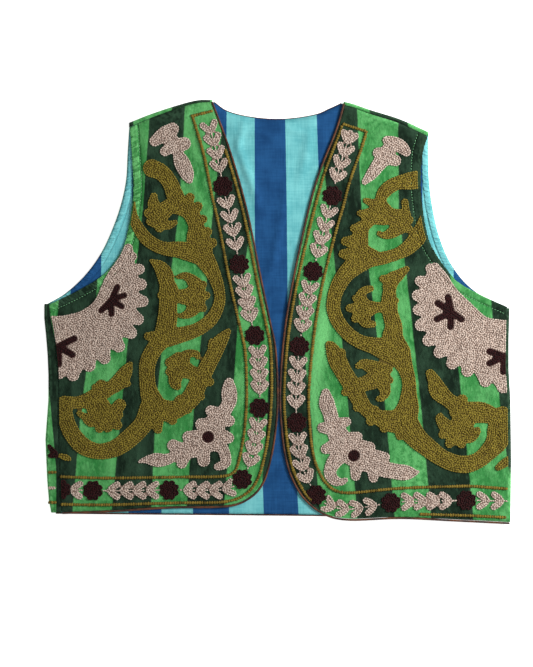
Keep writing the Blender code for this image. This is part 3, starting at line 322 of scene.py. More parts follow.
# %% The left front's scroll
LEFT_SCROLL = (
    # hook at the shoulder, and the curled head under it
    ((168, 156, 11), (156, 154, 10.5), (143, 152, 8.5), (134, 148, 8.5), (126, 141, 8),
     (122, 133, 7), (121, 124, 9.5)),
    ((121, 124, 9.5), (132, 113, 10), (145, 109, 12)),
    ((150, 129, 4.5), (151, 120, 5), (149, 110, 9.5)),
    ((148, 110, 9.5), (155, 108, 5.5)),
    ((146, 102, 9.5), (155, 97, 5)),
    ((145, 101, 10), (135, 93, 7), (126, 90, 4.5), (120, 92, 3.5)),
    ((121, 124, 9.5), (126, 119, 9.5)),
    ((100, 70, 10.5), (113, 64, 9.5)),
    ((112, 113, 10.5), (126, 110, 8.5)),
    # scalloped back of the head
    ((121, 124, 9.5), (113, 114, 10), (102, 100, 7.5), (97, 86, 10.5), (95, 69, 13), (95, 61, 13)),
    ((116, 126, 7), (104, 131, 3.5)),
    ((107, 114, 8.5), (97, 116, 4)),
    ((101, 100, 8.5), (90, 98, 5)),
    ((91, 82, 9.5), (80, 83, 5.5)),
    ((88, 67, 10.5), (77, 68, 5.5)),
    # tail from the armhole
    ((170, 113, 2), (169, 103, 5.5), (166, 89, 10), (155, 76, 9), (141, 68, 7.5), (124, 63, 8),
     (109, 61, 9.5), (95, 58, 13)),
    # stem round to the second leaf
    ((95, 58, 13), (81, 45, 10.5), (72, 31, 9.5), (67, 17, 8.5), (66, 3, 8.5), (71, -11, 8.5),
     (82, -25, 8.5), (96, -35, 8.5), (112, -40, 10), (127, -44, 13.5), (142, -49, 15.5)),
    # second leaf and its two curls
    ((152, 50, 4), (143, 43, 7), (134, 36, 9.5), (132, 24, 8), (132, 11, 10), (133, -2, 9.5),
     (137, -17, 10.5), (136, -32, 13), (141, -48, 16)),
    ((133, 36, 9.5), (124, 39, 4.5)),
    ((134, 14, 8.5), (139, 13, 4.5)),
    ((132, 5, 8.5), (119, 5, 6.5), (104, 3, 11)),
    ((100, 10, 9), (97, 19, 5.5), (103, 25, 5), (110, 27, 4)),
    ((97, 12, 7), (92, 16, 4.5)),
    ((94, 4, 7.5), (85, 4, 5)),
    ((97, -2, 9.5), (92, -8, 5.5)),
    ((101, -3, 10), (104, -13, 6.5), (113, -15, 4)),
    # stem to the third leaf
    ((142, -49, 15.5), (150, -65, 10), (155, -82, 8.5), (155, -97, 9.5), (154, -113, 13),
     (149, -128, 16.5)),
    # third leaf, its flame tip and its stepped underside
    ((149, -129, 16.5), (132, -129, 12.5), (115, -123, 9), (102, -112, 9), (94, -99, 10.5),
     (87, -86, 10.5), (77, -70, 10.5), (70, -56, 11), (64, -43, 7.5), (60, -38, 3.5)),
    ((72, -57, 11), (75, -49, 6)),
    ((86, -90, 8.5), (80, -95, 5)),
    ((97, -106, 9.5), (94, -113, 5.5)),
    ((113, -120, 9.5), (110, -129, 6)),
    ((129, -128, 12), (126, -137, 6)),
    ((146, -135, 14), (145, -146, 6)),
    # its inner curl
    ((92, -88, 9.5), (106, -84, 9.5), (121, -77, 13)),
    ((117, -70, 11), (110, -65, 8.5), (101, -62, 6), (95, -64, 4)),
    ((121, -69, 10.5), (131, -68, 5.5)),
    ((123, -78, 10.5), (132, -81, 5)),
    ((125, -86, 8.5), (127, -95, 6.5), (123, -102, 4.5), (119, -103, 3.5)),
    # lower hook
    ((149, -129, 16.5), (163, -148, 13), (178, -161, 11.5), (193, -172, 10.5), (209, -179, 10.5),
     (225, -180, 10.5), (239, -174, 10), (251, -163, 11), (259, -152, 13.5), (263, -136, 15),
     (265, -122, 10.5)),
    ((263, -134, 14), (272, -128, 10.5)),
    # fourth leaf and its curl
    ((266, -122, 10), (255, -123, 10), (241, -119, 12.5), (227, -119, 13), (214, -117, 12)),
    ((180, -73, 5.5), (185, -82, 8), (190, -94, 11), (201, -104, 9), (214, -113, 10.5)),
    ((214, -109, 9.5), (218, -104, 6.5)),
    ((226, -120, 13), (217, -133, 13.5), (212, -145, 13.5)),
    ((200, -137, 9.5), (192, -127, 6), (192, -123, 4)),
    ((202, -141, 9.5), (195, -145, 5.5)),
    ((207, -149, 10.5), (203, -156, 5.5)),
    ((217, -150, 9.5), (217, -157, 5)),
    ((219, -145, 10.5), (228, -148, 7), (234, -142, 5.5), (236, -139, 3.5)),
    ((260, -184, 4), (267, -179, 5.5), (277, -173, 6)),
)
print("left scroll:", len(LEFT_SCROLL), "strokes")

# %% The left front's sprig, rosette and spray
LEFT_SPRIG = (
    ((129, 202, 5.5), (137, 199, 8), (146, 194, 8), (152, 188, 5.5)),
    ((132, 194, 7.5), (126, 183, 10), (119, 173, 8.5), (111, 162, 7), (103, 153, 4)),
    ((124, 186, 8.5), (119, 187, 7)),
    ((129, 182, 9), (139, 178, 7)),
)
LEFT_ROSETTE = (
    ((185, 51, 7), (188, 35, 15), (193, 14, 22.5), (209, -12, 29.5), (232, -36, 33),
     (263, -45, 35.5), (279, -45, 35.5)),
    # lobes, from the armhole round to the side
    ((187, 44, 9.5), (180, 51, 6)),
    ((185, 30, 14), (168, 36, 6.5)),
    ((187, 16, 20), (165, 19, 7)),
    ((192, 4, 22.5), (166, 2, 7)),
    ((199, -8, 23.5), (169, -16, 7.5)),
    ((206, -17, 25), (178, -34, 7.5)),
    ((215, -27, 27), (191, -48, 7.5)),
    ((225, -34, 28.5), (206, -61, 7.5)),
    ((234, -38, 30.5), (224, -70, 7.5)),
    ((246, -42, 32), (245, -82, 7.5)),
    ((260, -45, 30.5), (266, -88, 8.5)),
)
LEFT_SPRAY = (
    ((57, -96, 5.5), (58, -108, 9.5), (62, -120, 9), (65, -130, 9.5), (71, -145, 12),
     (82, -161, 15.5), (97, -175, 12), (114, -182, 9.5), (128, -187, 9.5)),
    ((127, -186, 9.5), (141, -189, 9.5), (152, -190, 9), (161, -190, 4.5), (166, -189, 2)),
    ((69, -134, 9.5), (81, -130, 6)),
    ((62, -137, 9.5), (53, -137, 6.5)),
    ((68, -159, 10.5), (57, -162, 6.5)),
    ((82, -152, 10.5), (94, -148, 6.5)),
    ((95, -160, 10.5), (109, -160, 6.5)),
    ((112, -171, 9.5), (126, -172, 6.5)),
    ((112, -180, 8.5), (113, -196, 6)),
    ((93, -180, 8.5), (92, -194, 6)),
    ((74, -169, 10.5), (65, -180, 8.5), (62, -191, 7.5), (67, -199, 6.5), (75, -201, 4.5),
     (80, -199, 3.5)),
)
LEFT_SPRAY_EYE = (90, -170, 7)
print("left sprig, rosette and spray:", len(LEFT_SPRIG), len(LEFT_ROSETTE), len(LEFT_SPRAY),
      "strokes")

# %% Stars, and all the needlework of each front
# Stars set into the rosette: middle, ends of the arms, and the arms' half width
Star = namedtuple("Star", "middle arms radius")
UPPER_STAR = Star((-196, 14), ((-189, 29), (-181, 19), (-184, 6), (-196, -3), (-208, 1)), 3.5)
SEAM_STAR = Star((-258, -41), ((-240, -32), (-242, -51), (-258, -62)), 4.0)
LEFT_UPPER_STAR = Star((205, -1), ((201, 17), (189, 10), (188, -9), (204, -18), (217, -9)), 4.0)
LEFT_SEAM_STAR = Star((267, -53), ((250, -47), (250, -61), (266, -71), (274, -49)), 4.0)

Needlework = namedtuple("Needlework", "scroll sprig rosette spray eye upper_star seam_star")
NEEDLEWORK = {
    "right": Needlework(SCROLL, SPRIG, ROSETTE, SPRAY, SPRAY_EYE, UPPER_STAR, SEAM_STAR),
    "left": Needlework(LEFT_SCROLL, LEFT_SPRIG, LEFT_ROSETTE, LEFT_SPRAY, LEFT_SPRAY_EYE,
                       LEFT_UPPER_STAR, LEFT_SEAM_STAR),
}
for side, work in NEEDLEWORK.items():
    print(side, "front:", sum(map(len, work[:4])), "strokes in all")

# %% [markdown]
# ## Curves in the plane
#
# A few helpers draw smooth curves through the points, walk along them at even distances, and
# move them sideways, the way a seam allowance is drawn beside a cut edge.

# %% Curves
CURVE_STEPS = 6


def smooth(points, steps=CURVE_STEPS):
    """A Catmull-Rom curve through the points, with this many steps between each two."""
    p = np.array(points, float)
    p = np.vstack([2 * p[0] - p[1], p, 2 * p[-1] - p[-2]])
    rows = []
    for i in range(1, len(p) - 2):
        a, b, c, d = p[i - 1:i + 3]
        for t in np.arange(steps) / steps:
            rows.append(0.5 * (2 * b + (c - a) * t + (2 * a - 5 * b + 4 * c - d) * t * t
                               + (3 * b - 3 * c + d - a) * t ** 3))
    return np.vstack([rows, p[-2]])


def lengths(curve):
    """Distance along the curve at each of its points."""
    return np.concatenate([[0], np.cumsum(np.hypot(*np.diff(curve[:, :2], axis=0).T))])


def resample(curve, stations):
    """Points of the curve at fractions 0 to 1 of its length."""
    along = lengths(curve)
    wanted = np.asarray(stations) * along[-1]
    return np.column_stack([np.interp(wanted, along, column) for column in curve.T])


def from_distance(curve, distance):
    """The rest of the curve after a distance along it."""
    along = lengths(curve)
    first = [np.interp(distance, along, column) for column in curve.T]
    return np.vstack([first, curve[along > distance + 1]])


def offset(curve, distance):
    """The curve moved to its left by a distance, which may change along it."""
    d = np.gradient(curve, axis=0)
    d = d / np.hypot(d[:, 0], d[:, 1])[:, None]
    return curve + np.column_stack([-d[:, 1], d[:, 0]]) * np.reshape(distance, (-1, 1))


# A distance greater than any here, and one that keeps a division from zero
FAR = 1e3
TINY = 1e-9


def near_curve(curve, x, y):
    """Distance from a curve, and the way along it to the nearest point."""
    near = np.full(np.shape(x), FAR)
    along = np.zeros(np.shape(x))
    for a, b, start in zip(curve[:-1], curve[1:], lengths(curve)):
        d = b - a
        size = np.hypot(*d) + TINY
        t = np.clip(((x - a[0]) * d[0] + (y - a[1]) * d[1]) / size ** 2, 0, 1)
        gap = np.hypot(x - a[0] - t * d[0], y - a[1] - t * d[1])
        along = np.where(gap < near, start + t * size, along)
        near = np.minimum(near, gap)
    return near, along


def outline_field(outline, x, y):
    """Distance from a closed outline, negative within it."""
    closed = np.vstack([outline, outline[:1]])
    near, _ = near_curve(closed, x, y)
    inside = np.zeros(np.shape(x), bool)
    for a, b in zip(closed[:-1], closed[1:]):
        crosses = (a[1] > y) != (b[1] > y)
        drop = b[1] - a[1]
        inside ^= crosses & (x < a[0] + (y - a[1]) * (b[0] - a[0]) / (drop if drop else 1))
    return np.where(inside, -near, near)


def soft_step(value, start, end):
    t = np.clip((value - start) / (end - start), 0, 1)
    return t * t * (3 - 2 * t)


# %% The garment's edges
def side_fold(side, y):
    return np.interp(y, [row.y for row in SIDE[side]], [row.fold for row in SIDE[side]])


def side_seam(side, y):
    return np.interp(y, [row.y for row in SIDE[side]], [row.seam for row in SIDE[side]])


def shoulder_curve(side):
    return smooth(SHOULDER[side])


def shoulder_fold(side, x):
    curve = shoulder_curve(side)
    order = np.argsort(curve[:, 0])
    return np.interp(x, curve[order, 0], curve[order, 1])


def shoulder_wedge(side, fraction):
    """How far the back turns over the shoulder, from the arm (0) to the neck (1)."""
    arm, neck = SHOULDER_SEAM[side]
    return arm + (neck - arm) * fraction


def armhole_curve(side):
    return smooth(ARMHOLE[side])


def edge_curve(side):
    """The outer line of a front's piping, from the neck to the hem's outer end."""
    return smooth(EDGE[side])


def inward(side):
    """+1 where the garment is on the left hand of edge_curve."""
    return -1 if side == "right" else 1


for side in SIDES:
    print(side, "front edge and hem:", round(lengths(edge_curve(side))[-1]), "mm")


# %% [markdown]
# ## How the cloth lies
#
# Velvet and cotton never lie quite flat. Worn cloth keeps soft ridges where it was folded and
# where the needlework draws it together, and a turned and stitched edge puckers. Each ridge is
# one row of a table: its middle, its heading, and how long, wide and high it is. They only rise,
# because the layers below leave no room to sink.

# %% Soft ridges, listed one by one
Ridge = namedtuple("Ridge", "x y heading length width height")
FRONT_RIDGES = {
    "right": named(Ridge, (
        (-62, 168, -72, 74, 13, 0.9), (-98, 142, -58, 38, 9, 0.8), (-88, 196, -80, 46, 11, 0.7),
        (-128, 228, 16, 66, 9, 0.8), (-158, 196, 84, 58, 10, 0.8), (-58, 92, -75, 60, 12, 0.7),
        (-24, 60, -80, 90, 10, 0.8), (-52, 14, -84, 66, 14, 0.9), (-12, -60, 88, 96, 9, 0.7),
        (-26, -122, 6, 24, 6, 0.7), (-30, -137, -4, 26, 6, 0.6), (-24, -152, 9, 22, 6, 0.7),
        (-46, -196, 40, 34, 10, 0.8), (-92, -196, 4, 60, 12, 0.8), (-168, -192, -6, 58, 11, 0.9),
        (-224, -222, 3, 64, 9, 0.7), (-118, -222, 7, 44, 8, 0.7), (-246, -96, 82, 66, 10, 0.8),
        (-236, -182, 70, 44, 10, 0.8), (-180, -38, 52, 48, 12, 0.7),
        (-120, -92, 74, 40, 12, 0.6), (-60, -56, 60, 40, 10, 0.7),
    )),
    "left": named(Ridge, (
        (70, 178, 74, 66, 13, 0.9), (104, 168, 62, 50, 10, 0.8), (140, 214, -24, 60, 9, 0.8),
        (150, 158, 88, 62, 11, 0.8), (36, 96, 70, 70, 11, 0.7), (80, 66, 78, 66, 12, 0.8),
        (16, 10, 84, 88, 9, 0.8), (52, -30, 82, 70, 13, 0.9), (36, -118, -6, 22, 6, 0.6),
        (60, -132, 78, 60, 12, 0.9), (44, -176, -58, 40, 10, 0.8), (104, -206, 8, 56, 10, 0.9),
        (150, -206, 84, 24, 7, 1.0), (163, -200, 74, 22, 6, 0.8), (132, -168, 40, 36, 9, 0.8),
        (196, -230, -3, 70, 9, 0.8), (252, -208, 12, 44, 9, 0.8), (250, -92, 80, 60, 10, 0.8),
        (262, -36, 84, 50, 9, 0.8), (170, -96, -62, 44, 12, 0.7), (110, -22, -70, 46, 12, 0.7),
        (240, -150, -50, 40, 10, 0.8),
    )),
}
LINING_RIDGES = named(Ridge, (
    (-22, 209, 4, 40, 7, 2.0), (-38, 172, -78, 76, 10, 2.2), (-46, 206, 80, 40, 8, 1.8),
    (-30, 146, -74, 50, 8, 1.4), (30, 186, 78, 70, 11, 1.5), (4, 120, 84, 90, 11, 1.3),
    (14, 212, -10, 44, 8, 1.5), (-8, 60, 76, 60, 9, 1.2), (-2, -200, 78, 50, 9, 0.8),
    (14, -226, 12, 30, 6, 0.7), (-198, 92, 62, 50, 8, 0.7), (-226, 48, 44, 40, 7, 0.7),
    (196, 96, -66, 40, 7, 0.7),
))
print("ridges in the fronts and the lining:", *map(len, FRONT_RIDGES.values()), len(LINING_RIDGES))

# %% How the cloth rises
# How much higher the ridges of the fronts are than their table says, and how ridges bend
RIDGE_LIFT = 1.5
RIDGE_BEND = 0.35
RIDGE_WAVES = 2.6
# The slow swell of the cloth: length along x and y of each wave, and where it starts
SWELL_HEIGHT = 0.8
SWELL_WAVES = ((27, 61, 0), (-83, 37, 1.3))
# A stitched hem: its width, its step, the groove of its stitches, and the puckers beside them
STITCHED_HEM = 8.5
HEM_DIP = 0.45
HEM_STEP = 2
GROOVE_DEPTH = 0.7
GROOVE_WIDTH = 1.3
PUCKER_HEIGHT = 0.45
PUCKER_LENGTH = 1.9
PUCKER_DRIFT = (1.9, 9.0)
PUCKER_SWELL = (0.3, 15.0)
PUCKER_PLACE = 0.62
PUCKER_REACH = 3.6
# How far in the hem's shading shows, and how gathered each hem is
HEM_SHOWN = 12.0
GATHERED = {"right": 1.0, "left": 0.35}


def ridges(table, x, y):
    """Height of the soft ridges; each bends a little along its length."""
    height = np.zeros(np.shape(x))
    for r in table:
        c, s = math.cos(math.radians(r.heading)), math.sin(math.radians(r.heading))
        along = (x - r.x) * c + (y - r.y) * s
        across = (y - r.y) * c - (x - r.x) * s
        bend = across - r.width * RIDGE_BEND * np.sin(along / r.length * RIDGE_WAVES + r.x)
        height += r.height * np.exp(-(along / r.length * 2) ** 2 - (bend / r.width * 2) ** 2)
    return height


def swell(x, y):
    """A slow, uneven rise and fall of the whole cloth."""
    first, second = [0.5 + 0.5 * np.sin(x / a + y / b + start) for a, b, start in SWELL_WAVES]
    return SWELL_HEIGHT * first * second


def stitched_edge(gap, along, reach=STITCHED_HEM):
    """A turned edge: a little raised, drawn down along its stitching, with uneven puckers."""
    hem = soft_step(gap, reach, reach - HEM_STEP)
    groove = np.exp(-((gap - reach) / GROOVE_WIDTH) ** 2)
    (drift, drift_length), (change, change_length) = PUCKER_DRIFT, PUCKER_SWELL
    wave = np.sin(along / PUCKER_LENGTH + drift * np.sin(along / drift_length))
    wave = wave * (1 - change + change * np.sin(along / change_length))
    pucker = wave * np.exp(-((gap - reach * PUCKER_PLACE) / PUCKER_REACH) ** 2)
    return HEM_DIP * hem + PUCKER_HEIGHT * pucker + GROOVE_DEPTH * (1 - groove)


def rise(side, x, y):
    """How much a front stands above its flat height, over the folds."""
    below_arm = soft_step(y, *SIDE_RISE_FADES)
    side_part = SIDE_RISE * below_arm * np.exp(-((x - side_fold(side, y)) / SIDE_RISE_REACH) ** 2)
    down = (shoulder_fold(side, x) - y) / SHOULDER_RISE_REACH
    return side_part + SHOULDER_RISE * np.exp(-down ** 2)


def front_mid(side, x, y):
    """Height of the middle of a front's cloth."""
    gap, along = near_curve(armhole_curve(side), x, y)
    lie = rise(side, x, y) + RIDGE_LIFT * ridges(FRONT_RIDGES[side], x, y) + swell(x, y)
    return FRONT_MID + lie + stitched_edge(gap, along) - GROOVE_DEPTH


def metres(points):
    """Millimetres in the garment's own tables become metres in the shared frame."""
    points = np.asarray(points, float)
    return (points + (*CENTRE_SHIFT, 0)) * MM


print("height of a front's cloth at the chest, mm:", round(float(front_mid("right", -110, 60)), 2))


# %% [markdown]
# ## Sheets of cloth
#
# A sheet starts as Blender's own grid. Its rows run from the hem up and its columns run across,
# and each grid point moves to the same place on the cut cloth. A corner with no cloth is cut
# away. Solidify then gives the sheet its thickness on both sides of its middle, which is how the
# solid under it was made too.

# %% From a mesh to a piece
def mesh_of(name, bm):
    """The mesh of a bmesh, smooth all over."""
    for face in bm.faces:
        face.smooth = True
    mesh = bpy.data.meshes.new(name)
    bm.to_mesh(mesh)
    bm.free()
    return mesh


def object_of(name, mesh, material):
    """An object at the origin, with its place in its mesh."""
    mesh.materials.append(material)
    made = bpy.data.objects.new(name, mesh)
    bpy.context.scene.collection.objects.link(made)
    return made


def piece_of(name, mesh, material, slot, wall=0.0):
    """A piece of the garment; its wall is a thickness in millimetres, half to each side."""
    piece = object_of(name, mesh, material)
    if wall:
        thickness = piece.modifiers.new("thickness", "SOLIDIFY")
        thickness.thickness = wall * MM
        thickness.offset = 0
    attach(piece, "root")
    return piece


# %% From a grid to a panel
# Points round a turn of cloth, and on its flat part after it
TURN_STEPS = 8
UNDER_STEPS = 3
TURN_POINTS = TURN_STEPS + UNDER_STEPS


def patch(outer, inner, bottom, top):
    """Points of a four-sided patch: outer and inner run up, bottom and top run across."""
    v = np.linspace(0, 1, len(outer))[:, None, None]
    u = (lengths(bottom) / lengths(bottom)[-1])[None, :, None]
    ruled = (1 - u) * outer[:, None] + u * inner[:, None]
    across = (1 - v) * bottom[None] + v * top[None]
    corners = ((1 - u) * (1 - v) * bottom[0] + u * (1 - v) * bottom[-1]
               + (1 - u) * v * top[0] + u * v * top[-1])
    return ruled + across - corners


def turn(start, end, out, heights, depth):
    """A half turn of cloth from start to end: out points to the fold, depth away."""
    low, high = heights
    rows = []
    for angle in np.linspace(-math.pi / 2, math.pi / 2, TURN_STEPS + 1)[1:]:
        reach = start + np.array(out, float) * depth * math.cos(angle)
        rows.append((*reach, (low + high) / 2 + (high - low) / 2 * math.sin(angle)))
    for part in np.arange(1, UNDER_STEPS + 1) / UNDER_STEPS:
        rows.append((*(start + (end - start) * part), high))
    return rows


def lay_sheet(name, lattice, thickness, material, slot, marks):
    """A closed sheet over a lattice of points; a point that is not a number has no cloth.

    The marks are values the cloth's shader reads, one for each point of the lattice.
    """
    rows, columns = lattice.shape[:2]
    bm = bmesh.new()
    bmesh.ops.create_grid(bm, x_segments=columns - 1, y_segments=rows - 1, size=0.5)
    for mark in marks:
        bm.verts.layers.float.new(mark)
    layers = [(bm.verts.layers.float[mark], values) for mark, values in marks.items()]
    bare = []
    for vert in bm.verts:
        column = round((vert.co.x + 0.5) * (columns - 1))
        row = round((vert.co.y + 0.5) * (rows - 1))
        point = lattice[row, column]
        if np.isnan(point[0]):
            bare.append(vert)
            continue
        vert.co = Vector(metres(point))
        for layer, values in layers:
            vert[layer] = values[row, column]
    bmesh.ops.delete(bm, geom=bare, context="VERTS")
    bmesh.ops.recalc_face_normals(bm, faces=bm.faces)
    if sum(face.normal.z * face.calc_area() for face in bm.faces) < 0:
        bmesh.ops.reverse_faces(bm, faces=bm.faces)
    area = sum(face.calc_area() for face in bm.faces)
    print(f"{name}: {columns} by {rows} points, {area:.4f} square metres")
    return piece_of(name, mesh_of(name, bm), material, slot, thickness)


# %% [markdown]
# ## Materials
#
# Velvet is cut pile: it drinks light when seen from above, glows at grazing angles, and shows
# paler streaks where the pile is crushed. The lining is plain-woven cotton with a dry, even
# surface and slubs. The embroidery is soft cotton thread, matt, and each stitch catches a little
# more or less light. All colours are written as sRGB hex and turned linear by one function.

# %% Colours and nodes
def linear(code):
    """A hex colour such as 5a6b2c as the linear colour that shaders use."""
    parts = [int(code[i:i + 2], 16) / 255 for i in (0, 2, 4)]
    return (*[p / 12.92 if p < 0.04045 else ((p + 0.055) / 1.055) ** 2.4 for p in parts], 1)


def add(tree, kind, inputs=None, **settings):
    """Add a node; an input is either a value or the socket that feeds it."""
    made = tree.nodes.new(kind)
    for name, value in settings.items():
        setattr(made, name, value)
    for name, value in (inputs or {}).items():
        if isinstance(value, bpy.types.NodeSocket):
            tree.links.new(value, made.inputs[name])
        else:
            made.inputs[name].default_value = value
    return made


def cloth_material(name, roughness, sheen, sheen_tint, specular=0.25):
    """A cloth's shader with the values that are the same all over it."""
    material = bpy.data.materials.new(name)
    material.use_nodes = True
    shader = material.node_tree.nodes["Principled BSDF"]
    shader.inputs["Roughness"].default_value = roughness
    shader.inputs["Specular IOR Level"].default_value = specular
    shader.inputs["Sheen Weight"].default_value = sheen
    shader.inputs["Sheen Roughness"].default_value = 0.45
    shader.inputs["Sheen Tint"].default_value = linear(sheen_tint)
    return material, material.node_tree, shader


def noise_of(tree, size, detail=3, stretch=(1, 1, 1), rough=0.55):
    """Noise whose features are about size millimetres, drawn out by stretch."""
    place = add(tree, "ShaderNodeTexCoord").outputs["Object"]
    spread = add(tree, "ShaderNodeMapping", {"Vector": place, "Scale": stretch})
    made = add(tree, "ShaderNodeTexNoise",
               {"Vector": spread.outputs[0], "Scale": 1 / (size * MM), "Detail": detail,
                "Roughness": rough})
    return made.outputs["Fac"]


def blend_of(tree, factor, first, second):
    """Mix two colours, each a hex code or a socket."""
    mix = add(tree, "ShaderNodeMix", data_type="RGBA")
    tree.links.new(factor, mix.inputs[0])
    for socket, value in ((mix.inputs[6], first), (mix.inputs[7], second)):
        if isinstance(value, str):
            socket.default_value = linear(value)
        else:
            tree.links.new(value, socket)
    return mix.outputs[2]


def ramp_of(tree, value, low, high):
    """Stretch the part of a value between low and high to 0 and 1."""
    made = add(tree, "ShaderNodeMapRange",
               {"Value": value, "From Min": low, "From Max": high}, interpolation_type="SMOOTHSTEP")
    return made.outputs[0]


def maths(tree, operation, first, second=0.0):
    return add(tree, "ShaderNodeMath", {0: first, 1: second}, operation=operation).outputs[0]


print("leaf green in linear light:", [round(part, 3) for part in linear("2f7a3b")])

# %% Puckers, stripes and relief
# The shading of a stitched hem, in mm from its inner edge: the puckers, and the stitched groove
PUCKER_PITCH = 3.6
PUCKER_LEAN = 0.12
PUCKER_STRETCH = 16
BAND_STARTS = (3.5, 6)
GROOVE_STARTS = (1.8, 3.2)
GROOVE_ENDS = (3.8, 5.2)


def mark_of(tree, name):
    """A value that the cloth's points carry; 0 on a sheet that doesn't have it."""
    return add(tree, "ShaderNodeAttribute", attribute_name=name).outputs["Fac"]


def puckers_of(tree):
    """Puckers along a stitched hem, and the groove that its stitches draw, each 0 to 1."""
    hem, gathered = mark_of(tree, "hem"), mark_of(tree, "gathered")
    across = maths(tree, "ADD", maths(tree, "DIVIDE", mark_of(tree, "along"), PUCKER_PITCH),
                   maths(tree, "MULTIPLY", hem, PUCKER_LEAN))
    place = add(tree, "ShaderNodeCombineXYZ",
                {"X": across, "Y": maths(tree, "DIVIDE", hem, PUCKER_STRETCH)})
    uneven = add(tree, "ShaderNodeTexNoise",
                 {"Vector": place.outputs[0], "Scale": 1, "Detail": 2})
    wave = ramp_of(tree, uneven.outputs["Fac"], 0.38, 0.62)
    band = maths(tree, "MULTIPLY", ramp_of(tree, hem, *BAND_STARTS), wave)
    groove = maths(tree, "SUBTRACT", ramp_of(tree, hem, *GROOVE_STARTS),
                   ramp_of(tree, hem, *GROOVE_ENDS))
    return [maths(tree, "MULTIPLY", value, gathered) for value in (band, groove)]


def stripe_of(tree, edge, wander):
    """0 or 1 by which stripe the cloth is in; edge is how soft the change is, in stripes."""
    phase = mark_of(tree, "stripe")
    shift = maths(tree, "MULTIPLY", maths(tree, "SUBTRACT", noise_of(tree, 16), 0.5), wander)
    turns = maths(tree, "MULTIPLY", maths(tree, "ADD", phase, shift), math.pi)
    return ramp_of(tree, maths(tree, "SINE", turns), -edge * math.pi, edge * math.pi)


# A Wave texture turns its bands this many radians in each unit of length, times its scale
WAVE_FACTOR = 20


def wave_scale(pitch):
    """The scale at which a Wave texture's bands are this many millimetres apart."""
    return math.tau / (WAVE_FACTOR * pitch * MM)


def bump_of(tree, shader, height, strength, distance):
    """Raise the surface by a height value, to a distance in millimetres."""
    made = add(tree, "ShaderNodeBump",
               {"Height": height, "Strength": strength, "Distance": distance * MM})
    tree.links.new(made.outputs[0], shader.inputs["Normal"])


# %% [markdown]
# Cotton velvet, striped: dyed in two greens whose border bleeds by about a millimetre. The pile is
# 1.5 mm long, much finer than the eye sees here, so it is drawn as a fine mottle, with broader
# crushed places over it that are paler and stand a little lower.

# %% Velvet
PILE_DRAWN = 1.6
PILE_SHADE = 0.22


def make_velvet():
    material, tree, shader = cloth_material("cotton_velvet_striped", roughness=0.9, sheen=0.05,
                                            sheen_tint="9fd0a0", specular=0.08)
    light = stripe_of(tree, edge=0.02, wander=0.035)
    crushed = noise_of(tree, 17, detail=6, stretch=(1, 0.55, 1), rough=0.66)
    crushed = ramp_of(tree, crushed, 0.38, 0.64)
    streak = noise_of(tree, 34, detail=4, stretch=(1, 0.22, 1), rough=0.5)
    streak = ramp_of(tree, streak, 0.5, 0.72)
    brushed = noise_of(tree, 5, detail=3, stretch=(1, 0.4, 1), rough=0.6)
    brushed = ramp_of(tree, brushed, 0.48, 0.72)
    pile_paleness = maths(tree, "MAXIMUM", maths(tree, "MULTIPLY", crushed, 0.7), streak)
    pile_paleness = maths(tree, "MAXIMUM", pile_paleness, maths(tree, "MULTIPLY", brushed, 0.6))
    band, groove = puckers_of(tree)
    # Paler at edges, folds and patches: rubbed pile, and painted highlights
    patchy = ramp_of(tree, noise_of(tree, 5, detail=4), 0.3, 0.6)
    worn = maths(tree, "MULTIPLY", mark_of(tree, "worn"), patchy)
    # The hem's puckers are painted paler: a painted highlight on each pucker
    pile_paleness = maths(tree, "MAXIMUM", pile_paleness, maths(tree, "MAXIMUM", worn,
                                                  maths(tree, "MULTIPLY", band, 1.1)))
    # Painted shade: the stitched groove of a hem is drawn darker
    groove_shade = maths(tree, "SUBTRACT", 1.0, maths(tree, "MULTIPLY", groove, 0.7))
    pile_paleness = maths(tree, "MULTIPLY", pile_paleness, groove_shade)
    pile = noise_of(tree, PILE_DRAWN, detail=2, stretch=(1, 0.45, 1))
    fresh = blend_of(tree, pile_paleness, "2f7a3b", "68b66d")
    deep = blend_of(tree, pile_paleness, "101f15", "2f4936")
    ground = blend_of(tree, light, deep, fresh)
    shade = ramp_of(tree, pile, 0.25, 0.75)
    darker = add(tree, "ShaderNodeMix", {0: PILE_SHADE, 6: ground}, data_type="RGBA",
                 blend_type="MULTIPLY")
    grey = add(tree, "ShaderNodeCombineColor", {0: shade, 1: shade, 2: shade})
    tree.links.new(grey.outputs[0], darker.inputs[7])
    tree.links.new(darker.outputs[2], shader.inputs["Base Color"])
    relief = maths(tree, "ADD", maths(tree, "MULTIPLY", pile, 0.35), crushed)
    hem = maths(tree, "SUBTRACT", maths(tree, "MULTIPLY", band, 1.6), groove)
    bump_of(tree, shader, maths(tree, "ADD", relief, hem), strength=0.6, distance=0.9)
    return material


# %% [markdown]
# Plain-woven cotton with navy and turquoise stripes. Its yarns are 0.4 mm apart, too fine to show
# at this size, so the weave is drawn at 1.6 mm, with slubs along both yarn directions.

# %% Lining cotton
WEAVE_DRAWN = 1.6
SLUB = 0.06


